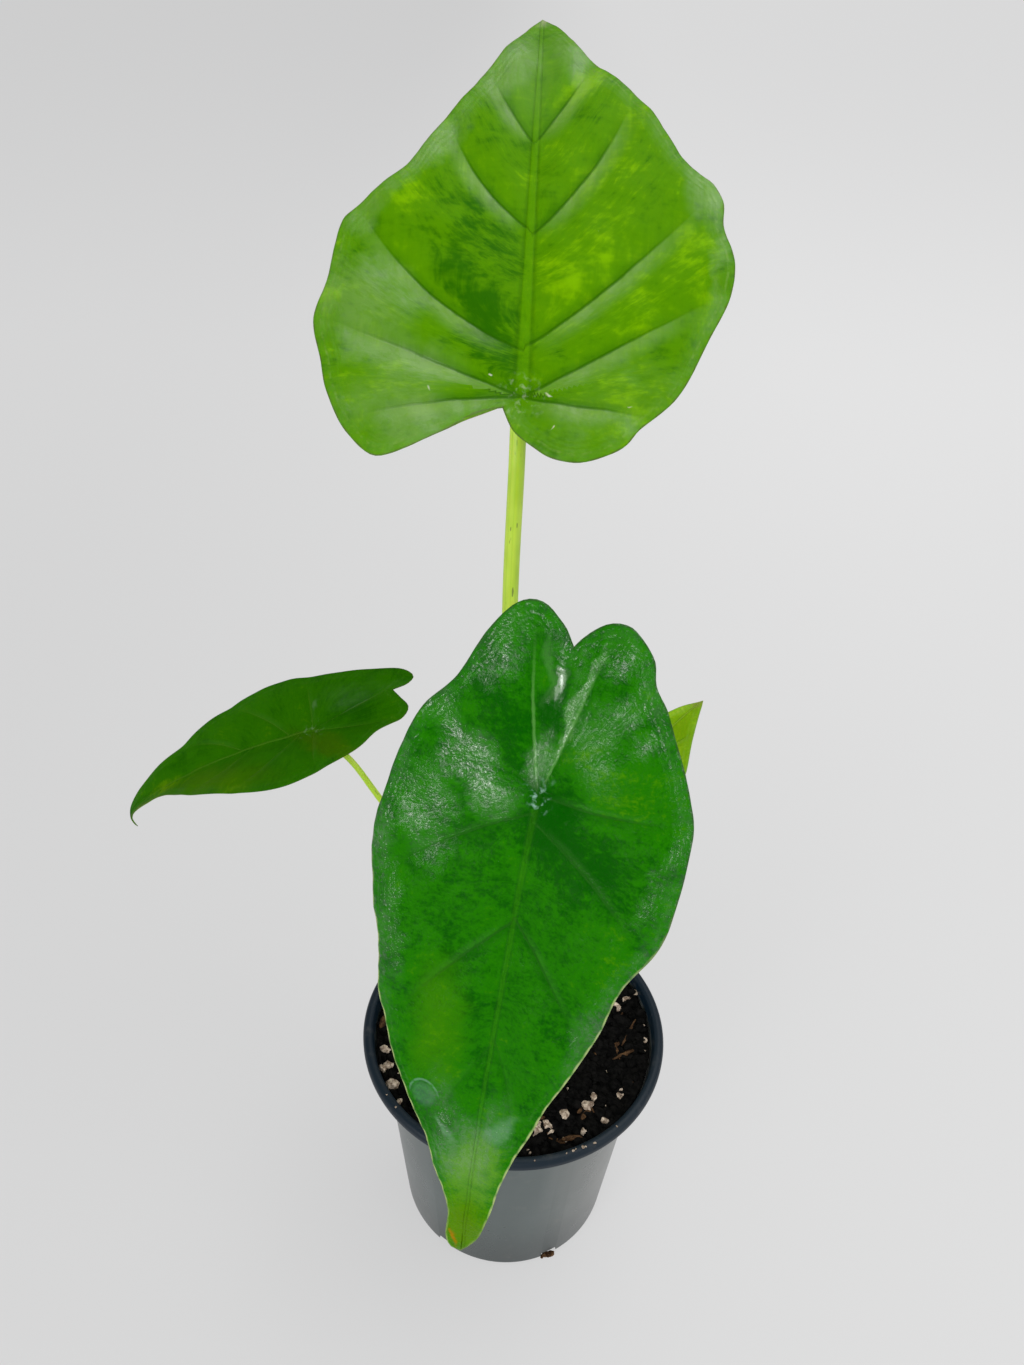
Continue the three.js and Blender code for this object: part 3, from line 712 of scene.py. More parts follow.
topBlade = {**plainBlade,
    "junction": (-7.8, 12, 318), "heading": 89.7, "rise": 42,
    "span": 120, "droop": 0.25,
    "fold": 0.12, "camber": 0.25, "veinDepth": 1.9, "veinWidth": 6,
    "notch": (-2.8, 4.2),
    "left": [
        (-4.6, 10), (-8.8, 15.6), (-16.6, 29.4), (-17.5, 34), (-11.7, 40.7), (-1, 46.7), (6, 48.4),
        (18.5, 51.6), (28, 49), (44.4, 47.2), (49, 45), (58, 36.3), (63, 31.6), (78, 24.4), (90, 17.6),
        (99, 13.9), (116, 5.4),
    ],
    "right": [
        (-6.4, 2.8), (-9.5, 1.1), (-13.7, -4.1), (-15.9, -7.8), (-16.8, -14.5), (-12.6, -24.6),
        (-6.7, -29), (0.4, -36.8), (17.2, -44.8), (30, -50), (38.7, -51), (48.8, -48.2), (57.6, -48.2),
        (62.6, -45.8), (65, -42), (69.4, -37.8), (76.2, -34.2), (91, -26.7), (98.8, -19.1), (111, -10),
        (120, -5),
    ],
    "tip": (127.5, 0),
    "veins": [
        ((0, 0), (-2, 20), (-8, 41)), ((0, 0), (6, 20), (19, 50)), ((12, 0), (21, 27), (50, 43)),
        ((46, 0), (57, 15.5), (78, 22)), ((73, 0), (86, 8), (98, 13)), ((0, 0), (-3, -15), (-4, -31)),
        ((0, 0), (8, -16), (30, -48)), ((13, 0), (26, -20), (59, -45)),
        ((44, 0), (62, -17), (90, -25)), ((74, 0), (88, -8), (102, -14)),
    ],
    "ribBand": (1.8, 0.42), "ribSwell": 0.35, "edgeCurl": -0.5, "edgeCurlWidth": 1.6,
    "pucker": 0.22, "seed": 5,
    "look": {**plainLook,
        "dark": (0.02, 0.12, 0.0), "middle": (0.078, 0.24, 0.0), "light": (0.17, 0.385, 0.0),
        "tone": 0.45, "fleckAcross": 7.0, "fleckAlong": 1.5, "fleckAmount": 0.75, "cloudAmount": 0.58,
        "cellScale": 0.3, "cellAmount": 0.62,
        "tonePatches": [
            (54, 31, 22, 11, 50, 0.16), (44, 12, 26, 10, 45, -0.28), (33, 17, 22, 10, 45, -0.2),
            (22, 9, 18, 8, 50, -0.3), (36, -14, 30, 14, -40, 0.22), (33, -32, 26, 14, -35, 0.1),
            (18, -26, 24, 10, -50, 0.1), (93, -11, 18, 6, -30, 0.35), (66, -20, 22, 9, -40, 0.2),
            (80, 8, 20, 8, 30, -0.1), (12, 8, 14, 8, 45, -0.3), (24, 44, 12, 6, 90, 0.25),
            # the lighter patch at (-2, -24) on the right lobe is painted sheen
            (-2, -24, 20, 14, -90, 0.2), (40, -42, 20, 8, 0, 0.17), (84, -24, 18, 8, -20, 0.18),
            (0, 30, 20, 12, 90, 0.15),
        ],
        "vein": (0.02, 0.1, 0.0), "veinLine": 0.6, "veinAmount": 0.7, "shadeAmount": 0.45,
        "sheenBand": (0.16, 0.3, 0.045), "bandWidth": 6.0, "bandAmount": 0.4, "bandGloss": 0.7,
        "lobeBand": 1.0,
        "rib": (0.09, 0.27, 0.0), "ribAmount": 0.4, "ribLineAmount": 0.42,
        "rimDark": (0.08, 0.1, 0.02), "rimLight": (0.09, 0.12, 0.02), "marginWidth": 0.45,
        "marginAmount": 0.7, "innerLine": 0.5,
        "marks": [
            (100, 3, 30, 14, 0, 0.35, (0.13, 0.27, 0.05)), (126, 0, 5, 3, 0, 0.6, (0.36, 0.4, 0.22)),
            (1, -6, 1.2, 0.4, 30, 0.8, (0.6, 0.62, 0.45)),
            (-8.5, -6.5, 0.9, 0.35, -20, 0.8, (0.6, 0.6, 0.4)),
            (-1, -26, 1.6, 0.3, 80, 0.7, (0.5, 0.5, 0.3)),
            (5, 7, 0.7, 0.3, 60, 0.8, (0.6, 0.62, 0.45)), (0, 23, 1.2, 0.4, 20, 0.8, (0.5, 0.55, 0.4)),
        ],
        "under": (0.14, 0.3, 0.03), "underRib": (0.26, 0.42, 0.07),
        "dust": (0.6, 0.62, 0.45), "specks": 0.05, "junctionSpecks": 0.12, "junctionFilm": 0.3,
        "filmReach": 8,
        "gloss": 0.0, "bloomAndSheenAmount": 0.3,
        "glossPatches": [
            (23, 40, 18, 15, 80, 1.3), (8, 30, 20, 9, 75, 1.1), (-4, 31, 18, 11, 95, 0.85),
            (-10, 24, 14, 12, 110, 0.9), (60, -44, 12, 8, 0, 0.9), (70, 26, 22, 7, -35, 0.8),
            (100, 8, 20, 8, -25, 1.0), (0, -24, 20, 14, -90, 0.22), (-9, -12, 12, 10, 0, 0.25),
            (105, -9, 18, 7, 25, 0.8), (38, -47, 18, 3, 0, 0.4), (50, 40, 12, 5, -30, 0.7),
        ],
        "rimGloss": 0.3, "rimGlossReach": 6.0, "glint": 0.25, "rimRipple": 0.03,
        "cells": 0.9, "skinDepth": 0.07, "skinTone": 0.2,
        "coatRoughness": 0.4,
    },
}

# The large glossy leaf that hangs in front

frontBlade = {**plainBlade,
    "junction": (0, -60, 255), "heading": -106.9, "rise": -63,
    "span": 120, "droop": 0.18,
    "fold": 0.12, "camber": 0.3, "veinDepth": 1.1, "veinWidth": 5,
    "notch": (-33.6, 1),
    "left": [
        (-36.2, 3.1), (-40.2, 8), (-40.4, 13), (-35.1, 19), (-29.3, 20.7), (-24.3, 24.2), (-8.2, 32.3),
        (1, 34.7), (17.2, 34.6), (27, 32.9), (37.7, 27.2), (52, 23.5), (76.8, 14.2), (97.6, 8.1),
        (121.8, 3.3),
    ],
    "right": [
        (-38, -1.5), (-42, -7.5), (-40.8, -12.2), (-33.2, -18), (-22.6, -22.7), (-14, -29.2),
        (-6, -32.6), (6.7, -35), (17, -36.6), (32.8, -34.3), (41.3, -31.5), (53.8, -29.7), (66, -25.8),
        (82, -18.3), (103.7, -8.3), (113.6, -4.8), (127, -3.6),
    ],
    "tip": (128.8, -0.4),
    "veins": [
        ((0, 0), (-16, 5), (-39, 10)), ((-1, 0), (-14, 12), (-27, 22)), ((0, 0), (1, 16), (-1, 33)),
        ((6, 0), (14, 16), (30, 30)), ((29, 0), (37, 8), (56, 21)), ((60, 0), (74, 8), (92, 9)),
        ((0, 0), (-16, -5), (-40, -8)), ((-1, 0), (-10, -16), (-14, -28)),
        ((4, 0), (10, -14), (27, -34)), ((30, 0), (42, -12), (62, -26)),
        ((62, 0), (76, -8), (92, -13)),
    ],
    "ribBand": (0.85, 0.3), "ribSwell": 0.2, "edgeCurl": -1.3, "edgeCurlWidth": 2.2,
    "pucker": 0.3, "seed": 8,
    "folds": [(-24, 0, 14, 3.5, 0, -1.2), (-16, 14, 12, 5, 35, 0.5), (-16, -14, 12, 5, -35, 0.5)],
    "look": {**plainLook,
        "dark": (0.001, 0.085, 0.0), "middle": (0.012, 0.165, 0.0), "light": (0.062, 0.25, 0.0),
        "tone": 0.31, "fleckAcross": 13.0, "fleckAlong": 2.2, "fleckAmount": 0.25, "cloudAmount": 0.9,
        "cellScale": 0.45, "cellAmount": 0.75,
        "tonePatches": [
            (-7, 17, 24, 13, 80, 0.3), (62, -14, 26, 10, 10, 0.15), (112, 0, 30, 14, 0, 0.6),
            # the dark patch at (-21, 0.3) is painted shade in the trough between the lobes
            (4, 4, 16, 12, 0, -0.35), (-21, 0.3, 11, 4.4, 0, -0.65), (-8, -6, 10, 4, 30, -0.2),
            (14, 16, 22, 14, 60, -0.22), (22, -12, 22, 14, 0, -0.1), (88, 2, 20, 12, 0, 0.2),
            (30, 22, 16, 8, -20, 0.2), (-22, -14, 16, 8, 20, -0.2),
        ],
        "vein": (0.012, 0.1, 0.006), "lobeVein": (0.09, 0.28, 0.05), "lobeFade": 0.85,
        "tipVeins": 0.35, "veinLine": 0.5, "veinAmount": 0.75, "shadeAmount": 0.45,
        "sheenBand": (0.06, 0.22, 0.03), "bandWidth": 2.4, "bandAmount": 0.14, "bandGloss": 0.05,
        "lobeBand": 0.15,
        "rib": (0.04, 0.22, 0.005), "ribAmount": 0.28, "ribLineAmount": 0.35,
        "rimDark": (0.02, 0.08, 0.01), "rimLight": (0.42, 0.5, 0.2), "marginFrom": 10,
        "marginWidth": 0.5, "marginAmount": 0.85, "innerLine": 0.25,
        "marks": [
            (-21, 5.4, 20, 1.6, -14, 0.4, (0.11, 0.3, 0.07)),
            (-28, -2.6, 12, 1.6, 8, 0.35, (0.09, 0.27, 0.06)),
            (120, 0, 18, 10, 0, 0.8, (0.09, 0.21, 0.0)),
            (124, -2.7, 3.2, 1.0, 10, 0.8, (0.38, 0.16, 0.0)),
            # the pale mark at (98, 0) is painted sheen, over the glossy patch at (93, -3)
            (98, 0, 14, 9, 0, 0.38, (0.17, 0.34, 0.06)), (60, -14, 24, 10, 5, 0.4, (0.06, 0.22, 0.0)),
            (84.5, 4.8, 8, 3, -45, 0.22, (0.3, 0.5, 0.36)),
            (87.5, -8.5, 5, 1.6, 35, 0.25, (0.3, 0.5, 0.36)),
        ],
        "under": (0.12, 0.27, 0.04), "underRib": (0.22, 0.38, 0.07),
        "dust": (0.3, 0.52, 0.42), "specks": 0.25, "junctionSpecks": 0.08, "junctionFilm": 1.0,
        "rings": [(80, -14.3, 4.6, 0.3)],
        "gloss": 0.015,
        "glossPatches": [
            (-32, -12, 10, 6, 10, 0.6), (-27, -17, 10, 4, 30, 0.45), (-14, -25, 16, 5, 40, 0.45),
            (4, -30, 14, 4.5, 15, 0.25), (18, -33, 14, 4, 5, 0.5), (-6, -16, 10, 8, 60, 1.0),
            (2, -9.5, 8, 7, 60, 1.0), (-25, 0, 5.5, 1.9, 0, 3.6), (-8, -1, 9, 3.8, 0, 2.0),
            (-20, 5.2, 19, 1.6, -13, 1.6), (-35, 13, 8, 5, -20, 0.5), (-24, 18, 14, 5, -40, 0.6),
            (-18, 23.5, 9, 3.5, -50, 0.35), (10, 31, 20, 4, -10, 0.35), (10, -23, 16, 9, 10, 0.6),
            (-32, 2, 10, 6, 0, 0.2), (82, -10, 14, 6, 10, 0.5), (84, 4, 14, 6, 0, 0.6),
            (93, -3, 13, 10, 0, 1.5), (-15, 9, 16, 8, 30, 0.35), (52, 22, 18, 5, -10, 0.5),
            (38, -28, 20, 4, 10, 0.5),
        ],
        "rimGloss": 0.5, "rimGlossReach": 5.0, "rimGlossEnd": 75, "glint": 0.75, "rimRipple": 0.045,
        "calmPatches": [(-25, 0, 8, 3.6, 0, 1.6)],
        "roughness": 0.45, "cells": 1.9, "wrinkles": 0.7, "skinDepth": 0.2, "skinTone": 0.55,
        "glow": 0.1, "specular": 0.04, "coatRoughness": 0.14, "coatIor": 1.6,
    },
}

# The long leaf that droops to the left

leftBlade = {**plainBlade,
    "junction": (-64, 8, 215), "heading": 170, "rise": -26, "roll": -24,
    "span": 80, "droop": 0.27, "tipDroop": 0.26, "tipPower": 12, "lobeDroop": 0.15, "sweep": 0.15,
    "fold": 0.43, "camber": 1, "veinDepth": 0.7, "veinWidth": 4,
    "notch": (-26.7, -7.6),
    "left": [
        (-29.3, -4.8), (-31.8, -1.6), (-30, 1.5), (-26.9, 3), (-23.5, 5.3), (-19.8, 10.7),
        (-14.5, 14.3), (-7.4, 16.9), (4, 20.4), (22, 17.6), (43.2, 11.2), (63.5, 2.8), (79, -0.2),
    ],
    "right": [
        (-31.4, -8.8), (-33.3, -10.4), (-31.2, -12.5), (-24.2, -14.2), (-10, -15.6), (12.7, -17.7),
        (37.7, -13.9), (54, -9.4), (68, -6.3), (79, -3.4),
    ],
    "tip": (92, -1.6),
    "veins": [
        ((0, 0), (-12, 3), (-28, 2)), ((0, 0), (-3, 10), (-6, 16)), ((4, 0), (12, 12), (24, 16)),
        ((22, 0), (32, 9), (44, 10)), ((0, 0), (-14, -4), (-31, -10)), ((0, 0), (0, -9), (2, -16)),
        ((8, 0), (18, -10), (30, -15)), ((26, 0), (38, -8), (50, -9)),
    ],
    "rows": 130, "columns": 26, "ribScale": 0.55,
    "ribBand": (0.45, 0.18), "ribSwell": 0.1, "edgeCurl": -0.4, "edgeCurlWidth": 1.4,
    "pucker": 0.15, "seed": 9,
    "look": {**plainLook,
        "dark": (0.008, 0.075, 0.0), "middle": (0.02, 0.12, 0.0), "light": (0.085, 0.21, 0.0),
        "tone": 0.4, "cloudAmount": 0.8, "cellAmount": 0.4,
        "tonePatches": [
            (30, 12, 26, 5, -15, 0.15), (60, 0, 24, 6, -10, 0.25), (-14, -2, 14, 8, 0, -0.2),
        ],
        "vein": (0.09, 0.2, 0.02), "veinAmount": 0.18, "shadeAmount": 0.15,
        "sheenBand": (0.06, 0.16, 0.02), "bandAmount": 0.1, "bandGloss": 0.08,
        "rib": (0.1, 0.22, 0.02), "ribAmount": 0.28, "ribLineAmount": 0.1,
        "rimDark": (0.05, 0.1, 0.01), "rimLight": (0.08, 0.12, 0.02), "marginAmount": 0.6,
        "marks": [
            (35, 9, 40, 9, -15, 0.4, (0.06, 0.13, 0.0)), (-8, 8, 26, 5, -30, 0.3, (0.07, 0.1, 0.0)),
        ],
        "under": (0.12, 0.24, 0.03), "underRib": (0.2, 0.34, 0.05),
        "dust": (0.3, 0.42, 0.25), "junctionSpecks": 0.02, "junctionFilm": 0.3,
        "gloss": 0.01,
        "glossPatches": [
            (24, -13, 34, 4, 5, 0.05), (-14, -8, 14, 6, 0, 0.3), (-2, -7, 2.5, 1.2, 40, 1.5),
        ],
        "rimGloss": 0.06,
        "skinDepth": 0.05,
        "glow": 0.12, "specular": 0.01,
    },
}

# The small leaf behind on the right

rightBlade = {**plainBlade,
    "junction": (20.6, 12, 186.6), "heading": 43, "rise": 29,
    "span": 55, "droop": 0.2,
    "fold": 0.3, "camber": 0.6, "veinDepth": 0.6, "veinWidth": 4,
    "notch": (-12, 0),
    "left": [(-16, 4), (-16, 10), (-8, 17), (6, 20), (20, 15.8), (31, 8.9), (39.7, 4.9), (46.3, 2.4)],
    "right": [
        (-16, -4), (-16, -10), (-8, -17), (6, -21), (17, -20.2), (25, -16.6), (36.7, -8.9), (44, -4.4),
    ],
    "tip": (51, 0),
    "veins": [
        ((0, 0), (-8, 6), (-15, 8)), ((0, 0), (2, 11), (6, 19)), ((7, 0), (16, 11), (28, 13)),
        ((22, 0), (31, 6), (40, 6)), ((0, 0), (-8, -6), (-15, -8)), ((0, 0), (2, -11), (6, -20)),
        ((7, 0), (16, -12), (28, -16)), ((22, 0), (31, -7), (40, -8)),
    ],
    "rows": 100, "columns": 26, "ribScale": 0.5,
    "ribBand": (0.7, 0.25), "ribSwell": 0.1, "edgeCurl": -0.3, "edgeCurlWidth": 1.2,
    "pucker": 0.12, "seed": 12,
    "look": {**plainLook,
        "dark": (0.1, 0.27, 0.0), "middle": (0.2, 0.4, 0.002), "light": (0.36, 0.58, 0.02),
        "tone": 0.55, "cloudScale": 0.1, "cloudAmount": 0.7, "cellAmount": 0.3,
        "tonePatches": [(34, 8, 20, 6, -20, 0.3)],
        "vein": (0.06, 0.18, 0.01), "veinAmount": 0.4, "shadeAmount": 0.2,
        "sheenBand": (0.25, 0.42, 0.08), "bandAmount": 0.2, "bandGloss": 0.2,
        "rib": (0.24, 0.42, 0.03), "ribAmount": 0.6, "ribLineAmount": 0.2,
        "rimDark": (0.14, 0.2, 0.03), "rimLight": (0.2, 0.26, 0.05), "marginAmount": 0.5,
        "marks": [(49, 0, 4, 3, 0, 0.5, (0.3, 0.25, 0.08))],
        "under": (0.18, 0.34, 0.04), "underRib": (0.28, 0.44, 0.08),
        "dust": (0.5, 0.56, 0.4), "junctionSpecks": 0.05, "junctionFilm": 0.2,
        "gloss": 0.05,
        "rimGloss": 0.2,
        "skinDepth": 0.04,
    },
}

blades = {
    "top": (topBlade, "young_leaf", "youngLeaf"),
    "front": (frontBlade, "glossy_leaf", "glossyLeaf"),
    "left": (leftBlade, "dark_leaf", "darkLeaf"),
    "right": (rightBlade, "pale_leaf", "paleLeaf"),
}
for place, (leaf, slot, materialName) in blades.items():
    addPiece("leafBlade_" + place, makeBlade("leafBlade_" + place, leaf),
             ["blade_" + place], makeLeafMaterial(materialName, leaf["look"]))


# Geometry trees: what they share

def newTree(name, inputs):
    sockets = [("Geometry", "Geometry"), *inputs]
    tree, inside, result = newGroup(name, "GeometryNodeTree", sockets, [("Geometry", "Geometry")])
    return tree, inside, result["Geometry"]


def runTree(name, base, tree, values):
    # runs a geometry tree on a base mesh and returns the plain mesh that it makes
    maker = addToScene(name + "Maker", base)
    modifier = maker.modifiers.new(tree.name, "NODES")
    modifier.node_group = tree
    sockets = {item.name: item.identifier for item in tree.interface.items_tree
               if item.item_type == "SOCKET" and item.in_out == "INPUT"}
    for key, value in values.items():
        modifier[sockets[key]] = value
    ready = maker.evaluated_get(bpy.context.evaluated_depsgraph_get())
    mesh = bpy.data.meshes.new_from_object(ready)
    mesh.name = name
    bpy.data.objects.remove(maker)
    return mesh


# Stalks: round bars along the paths that the leaves grew, flared at the foot

stalks = {
    "top": {
        "foot": (-0.6, 1.4), "footRadius": 2.9, "endRadius": 2.05,
        "through": [(-3.4, 4, 135), (-6.6, 9, 200), (-8.2, 12.6, 262), (-8.1, 14.4, 297)],
    },
    "front": {
        "foot": (0.8, -4.9), "footRadius": 2.6, "endRadius": 1.9,
        "through": [(0.8, -13, 130), (0.7, -29, 185), (0.8, -46, 232)],
    },
    "left": {
        "foot": (-6.9, 2.6), "footRadius": 2.2, "endRadius": 0.85,
        "through": [(-12, 3.6, 118), (-28, 6, 162), (-44.6, 8, 188.5), (-54, 8, 205)],
    },
    "right": {
        "foot": (5.7, 2.2), "footRadius": 2.1, "endRadius": 0.9,
        "through": [(9.5, 4.5, 120), (15.5, 8.5, 155)],
    },
}

stalkForm = {
    "sides": 24, "flare": 0.6, "flareEnd": 12.0, "pathPoints": 150,
    "footHeight": 88.9, "knee": 8.9, "neck": 4.2, "intoBlade": 0.4,  # mm
}

stalkLook = {
    "pale": (0.4, 0.59, 0.02), "paler": (0.53, 0.71, 0.06), "rib": (0.34, 0.56, 0.02),
    "dash": (0.07, 0.12, 0.02), "foot": (0.3, 0.26, 0.1), "footReach": 0.035,
}


def makeStalkTree(material):
    tree, inside, result = newTree("taperedStalk", [
        ("Foot Radius", "Float", 0.0029), ("End Radius", "Float", 0.002), ("Flare", "Float", 0.6),
        ("Flare End", "Float", 12.0), ("Sides", "Int", 24), ("Length", "Float", 0.2),
    ])
    share = put(tree, "GeometryNodeSplineParameter", out="Factor")
    shed = (share * inside["Flare End"] * -1).math("EXPONENT")
    part = (1 - inside["Flare"]) * (1 - share) + inside["Flare"] * shed
    radius = inside["End Radius"] + (inside["Foot Radius"] - inside["End Radius"]) * part
    path = put(tree, "GeometryNodeMeshToCurve", {"Mesh": inside["Geometry"]})
    path = path.then("GeometryNodeStoreNamedAttribute", {
        "Name": "stalkAlong", "Value": share * inside["Length"]}, data_type="FLOAT", domain="POINT")
    ring = put(tree, "GeometryNodeCurvePrimitiveCircle", {"Resolution": inside["Sides"], "Radius": 1.0},
               mode="RADIUS")
    ring = ring.then("GeometryNodeStoreNamedAttribute", {
        "Name": "stalkAround", "Value": put(tree, "GeometryNodeInputPosition")},
        data_type="FLOAT_VECTOR", domain="POINT")
    bar = put(tree, "GeometryNodeCurveToMesh",
              {"Curve": path, "Profile Curve": ring, "Scale": radius, "Fill Caps": True})
    bar = bar.then("GeometryNodeSetShadeSmooth").then("GeometryNodeRealizeInstances")
    feed(result, bar.then("GeometryNodeSetMaterial", {"Material": material}))
    return tree


def stalkPath(leaf, stalk, form):
    axes = bladeAxes(leaf)
    zero = np.zeros(1)
    normal = bladeNormal(leaf, axes, zero + 1, zero, 0.4)[0]
    depth = bladeMesh["thickness"] / 2 + form["intoBlade"]
    top = bladePoint(leaf, axes, zero, zero)[0] - normal * depth
    neck = top - normal * form["neck"]
    foot = np.array([*stalk["foot"], form["footHeight"]])
    knee = foot + (0, 0, form["knee"])
    run = catmullRom([foot, knee, *stalk["through"], neck, top])
    return atShares(run, np.linspace(0, 1, form["pathPoints"])) * mm


def makeStalkMaterial(look):
    material, tree, shader = newMaterial("stalkSkin")
    along = attribute(tree, "stalkAlong", "Fac")
    shift = put(tree, "ShaderNodeCombineXYZ", {2: along * 160.0})
    wrapped = attribute(tree, "stalkAround").vector("ADD", shift)
    colour = wrapped.noise(0.35).ramp(0.35, 0.65).mix(look["pale"], look["paler"])
    ribs = wrapped.stretched((3.0, 3.0, 0.05)).noise(1.6)
    colour = ribs.ramp(0.45, 0.75, 0.0, 0.6).mix(colour, look["rib"])
    dashes = wrapped.stretched((2.2, 2.2, 1.1)).noise(1.3, 1.0)
    colour = dashes.ramp(0.69, 0.74, 0.0, 0.7).mix(colour, look["dash"])
    colour = along.ramp(look["footReach"], 0.0, 0.0, 0.7).mix(colour, look["foot"])
    height = ribs * 0.12 + objectPlace(tree).noise(900.0) * 0.03
    feedAll(shader, {
        "Base Color": colour, "Roughness": ribs.ramp(0.2, 0.8, 0.36, 0.5),
        "Normal": bump(height, strength=0.8),
        "Subsurface Weight": 0.3, "Subsurface Radius": (0.5, 1.0, 0.2), "Subsurface Scale": 1.5 * mm,
    })
    return material


stalkSkin = makeStalkMaterial(stalkLook)
stalkTree = makeStalkTree(stalkSkin)
for place, stalk in stalks.items():
    path = stalkPath(blades[place][0], stalk, stalkForm)
    line = bpy.data.meshes.new("stalkPath_" + place)
    line.from_pydata(path.tolist(), [(k, k + 1) for k in range(len(path) - 1)], [])
    bar = runTree("stalk_" + place + "_bar", line, stalkTree, {
        "Foot Radius": stalk["footRadius"] * mm, "End Radius": stalk["endRadius"] * mm,
        "Flare": stalkForm["flare"], "Flare End": stalkForm["flareEnd"], "Sides": stalkForm["sides"],
        "Length": float(np.linalg.norm(np.diff(path, axis=0), axis=1).sum()),
    })
    addPiece("leafStalk_" + place, closeMesh(bar), ["stalk_" + place], stalkSkin)


# Pot: turned profile, with drain holes cut through the corner of its base

pot = {
    "height": 93, "lipRadius": 52.5, "lipInner": 49.2, "lipDrop": 3.8, "collarRadius": 49.6,
    "shoulderRadius": 45.3, "shoulderHeight": 83.2, "baseRadius": 38.4, "baseBevel": 1.5,
    "wall": 1.25, "floor": 1.6, "sides": 192, "cornerRadius": 0.8, "sharpAngle": 35,
    "drainCount": 6, "drainRadius": 3.9, "drainCentre": 36, "drainTop": 4.6, "drainTurn": -63,
}

potLook = {
    "dark": (0.045, 0.064, 0.062), "light": (0.068, 0.09, 0.088),  # streaks of the wall
    "paintedSideLight": (0.22, 0.22, 0.21), "paintedSideLightFrom": (0.01, 0.036),       # painted light: paler towards +X, in metres
    "paintedSideShade": (0.024, 0.036, 0.035), "paintedSideShadeFrom": (-0.024, -0.038),  # painted shade: darker towards -X
    # painted shade: the wall darkens towards its foot
    "foot": (0.012, 0.02, 0.02), "paintedFootShadeTop": 0.04,
    "lip": (0.001, 0.009, 0.018), "lipFrom": (0.0865, 0.0895),
    "dust": (0.2, 0.19, 0.17), "speck": (0.3, 0.28, 0.24),
}


def roundCorners(points, radius, steps=4):
    # replaces each inner corner of an outline by a small arc
    points = np.array(points, float)
    made = [points[0]]
    for before, corner, after in zip(points, points[1:], points[2:]):
        back, ahead = before - corner, after - corner
        cut = min(radius, 0.45 * np.linalg.norm(back), 0.45 * np.linalg.norm(ahead))
        start = corner + back / np.linalg.norm(back) * cut
        end = corner + ahead / np.linalg.norm(ahead) * cut
        for t in np.linspace(0, 1, steps + 1):
            made.append((1 - t) ** 2 * start + 2 * t * (1 - t) * corner + t * t * end)
    made.append(points[-1])
    return np.array(made)


def ringMesh(name, rings, inward=False):
    # joins rings of points in mm, one after the other, by quads
    index = np.arange(rings[..., 0].size).reshape(rings.shape[:2])
    after = np.roll(index, -1, axis=1)
    quads = np.stack([index[:-1], after[:-1], after[1:], index[1:]], axis=-1)
    if inward:
        quads = quads[..., [0, 3, 2, 1]]
    mesh = bpy.data.meshes.new(name)
    mesh.from_pydata((rings.reshape(-1, 3) * mm).tolist(), [], quads.reshape(-1, 4).tolist())
    return mesh


def turned(name, profile, sides):
    # turns an outline of (radius, height) in mm round the vertical axis, closed at the axis
    turns = 2 * np.pi * np.arange(sides) / sides
    radius, height = profile[:, :1], profile[:, 1:]
    rings = np.stack([radius * np.cos(turns), radius * np.sin(turns), height + 0 * turns], axis=-1)
    return closeMesh(ringMesh(name, rings))


def potProfile(p):
    lip, mouth, collar = p["lipRadius"], p["lipInner"], p["collarRadius"]
    shoulder, base, step = p["shoulderRadius"], p["baseRadius"], p["shoulderHeight"]
    top, underLip, wall, floor = p["height"], p["height"] - p["lipDrop"], p["wall"], p["floor"]
    outer = [
        (0, 0), (base - p["baseBevel"], 0), (base, p["baseBevel"]), (shoulder, step - 0.6),
        (collar - 1.2, step + 1.6), (collar, underLip - 0.4), (lip - 0.5, underLip),
        (lip, underLip + 0.6), (lip, top - 1.5), (lip - 0.6, top - 0.4), (lip - 1.5, top),
        (mouth + 0.9, top), (mouth, top - 0.6),
    ]
    inner = [
        (mouth - 0.3, top - 2), (collar - wall, step + 3.2), (collar - wall - 1.2, step + 2),
        (shoulder - wall, step), (base - wall, floor + 1.4), (base - wall - 1.2, floor), (0, floor),
    ]
    return roundCorners(outer + inner, p["cornerRadius"])


def makeDrainTree(material):
    tree, inside, result = newTree("drainHoles", [
        ("Count", "Int", 6), ("Radius", "Float", 0.004), ("Centre Radius", "Float", 0.036),
        ("Top", "Float", 0.0046), ("First Turn", "Float", 0.0),
    ])
    number = put(tree, "GeometryNodeInputIndex")
    step = put(tree, "ShaderNodeMath", {0: 2 * math.pi, 1: inside["Count"]}, operation="DIVIDE")
    turn = inside["First Turn"] + number * step
    place = put(tree, "ShaderNodeCombineXYZ", {
        0: inside["Centre Radius"] * turn.math("COSINE"),
        1: inside["Centre Radius"] * turn.math("SINE"),
        2: inside["Top"] * 0.5 - mm,
    })
    spots = put(tree, "GeometryNodePoints", {"Count": inside["Count"], "Position": place})
    cutter = put(tree, "GeometryNodeMeshCylinder",
                 {"Vertices": 32, "Radius": inside["Radius"], "Depth": inside["Top"] + 2 * mm})
    cutters = put(tree, "GeometryNodeInstanceOnPoints", {"Points": spots, "Instance": cutter})
    cut = put(tree, "GeometryNodeMeshBoolean", {
        "Mesh 1": inside["Geometry"], "Mesh 2": cutters.then("GeometryNodeRealizeInstances")},
        operation="DIFFERENCE", solver="EXACT")
    whole = cut.then("GeometryNodeRealizeInstances")
    feed(result, whole.then("GeometryNodeSetMaterial", {"Material": material}))
    return tree


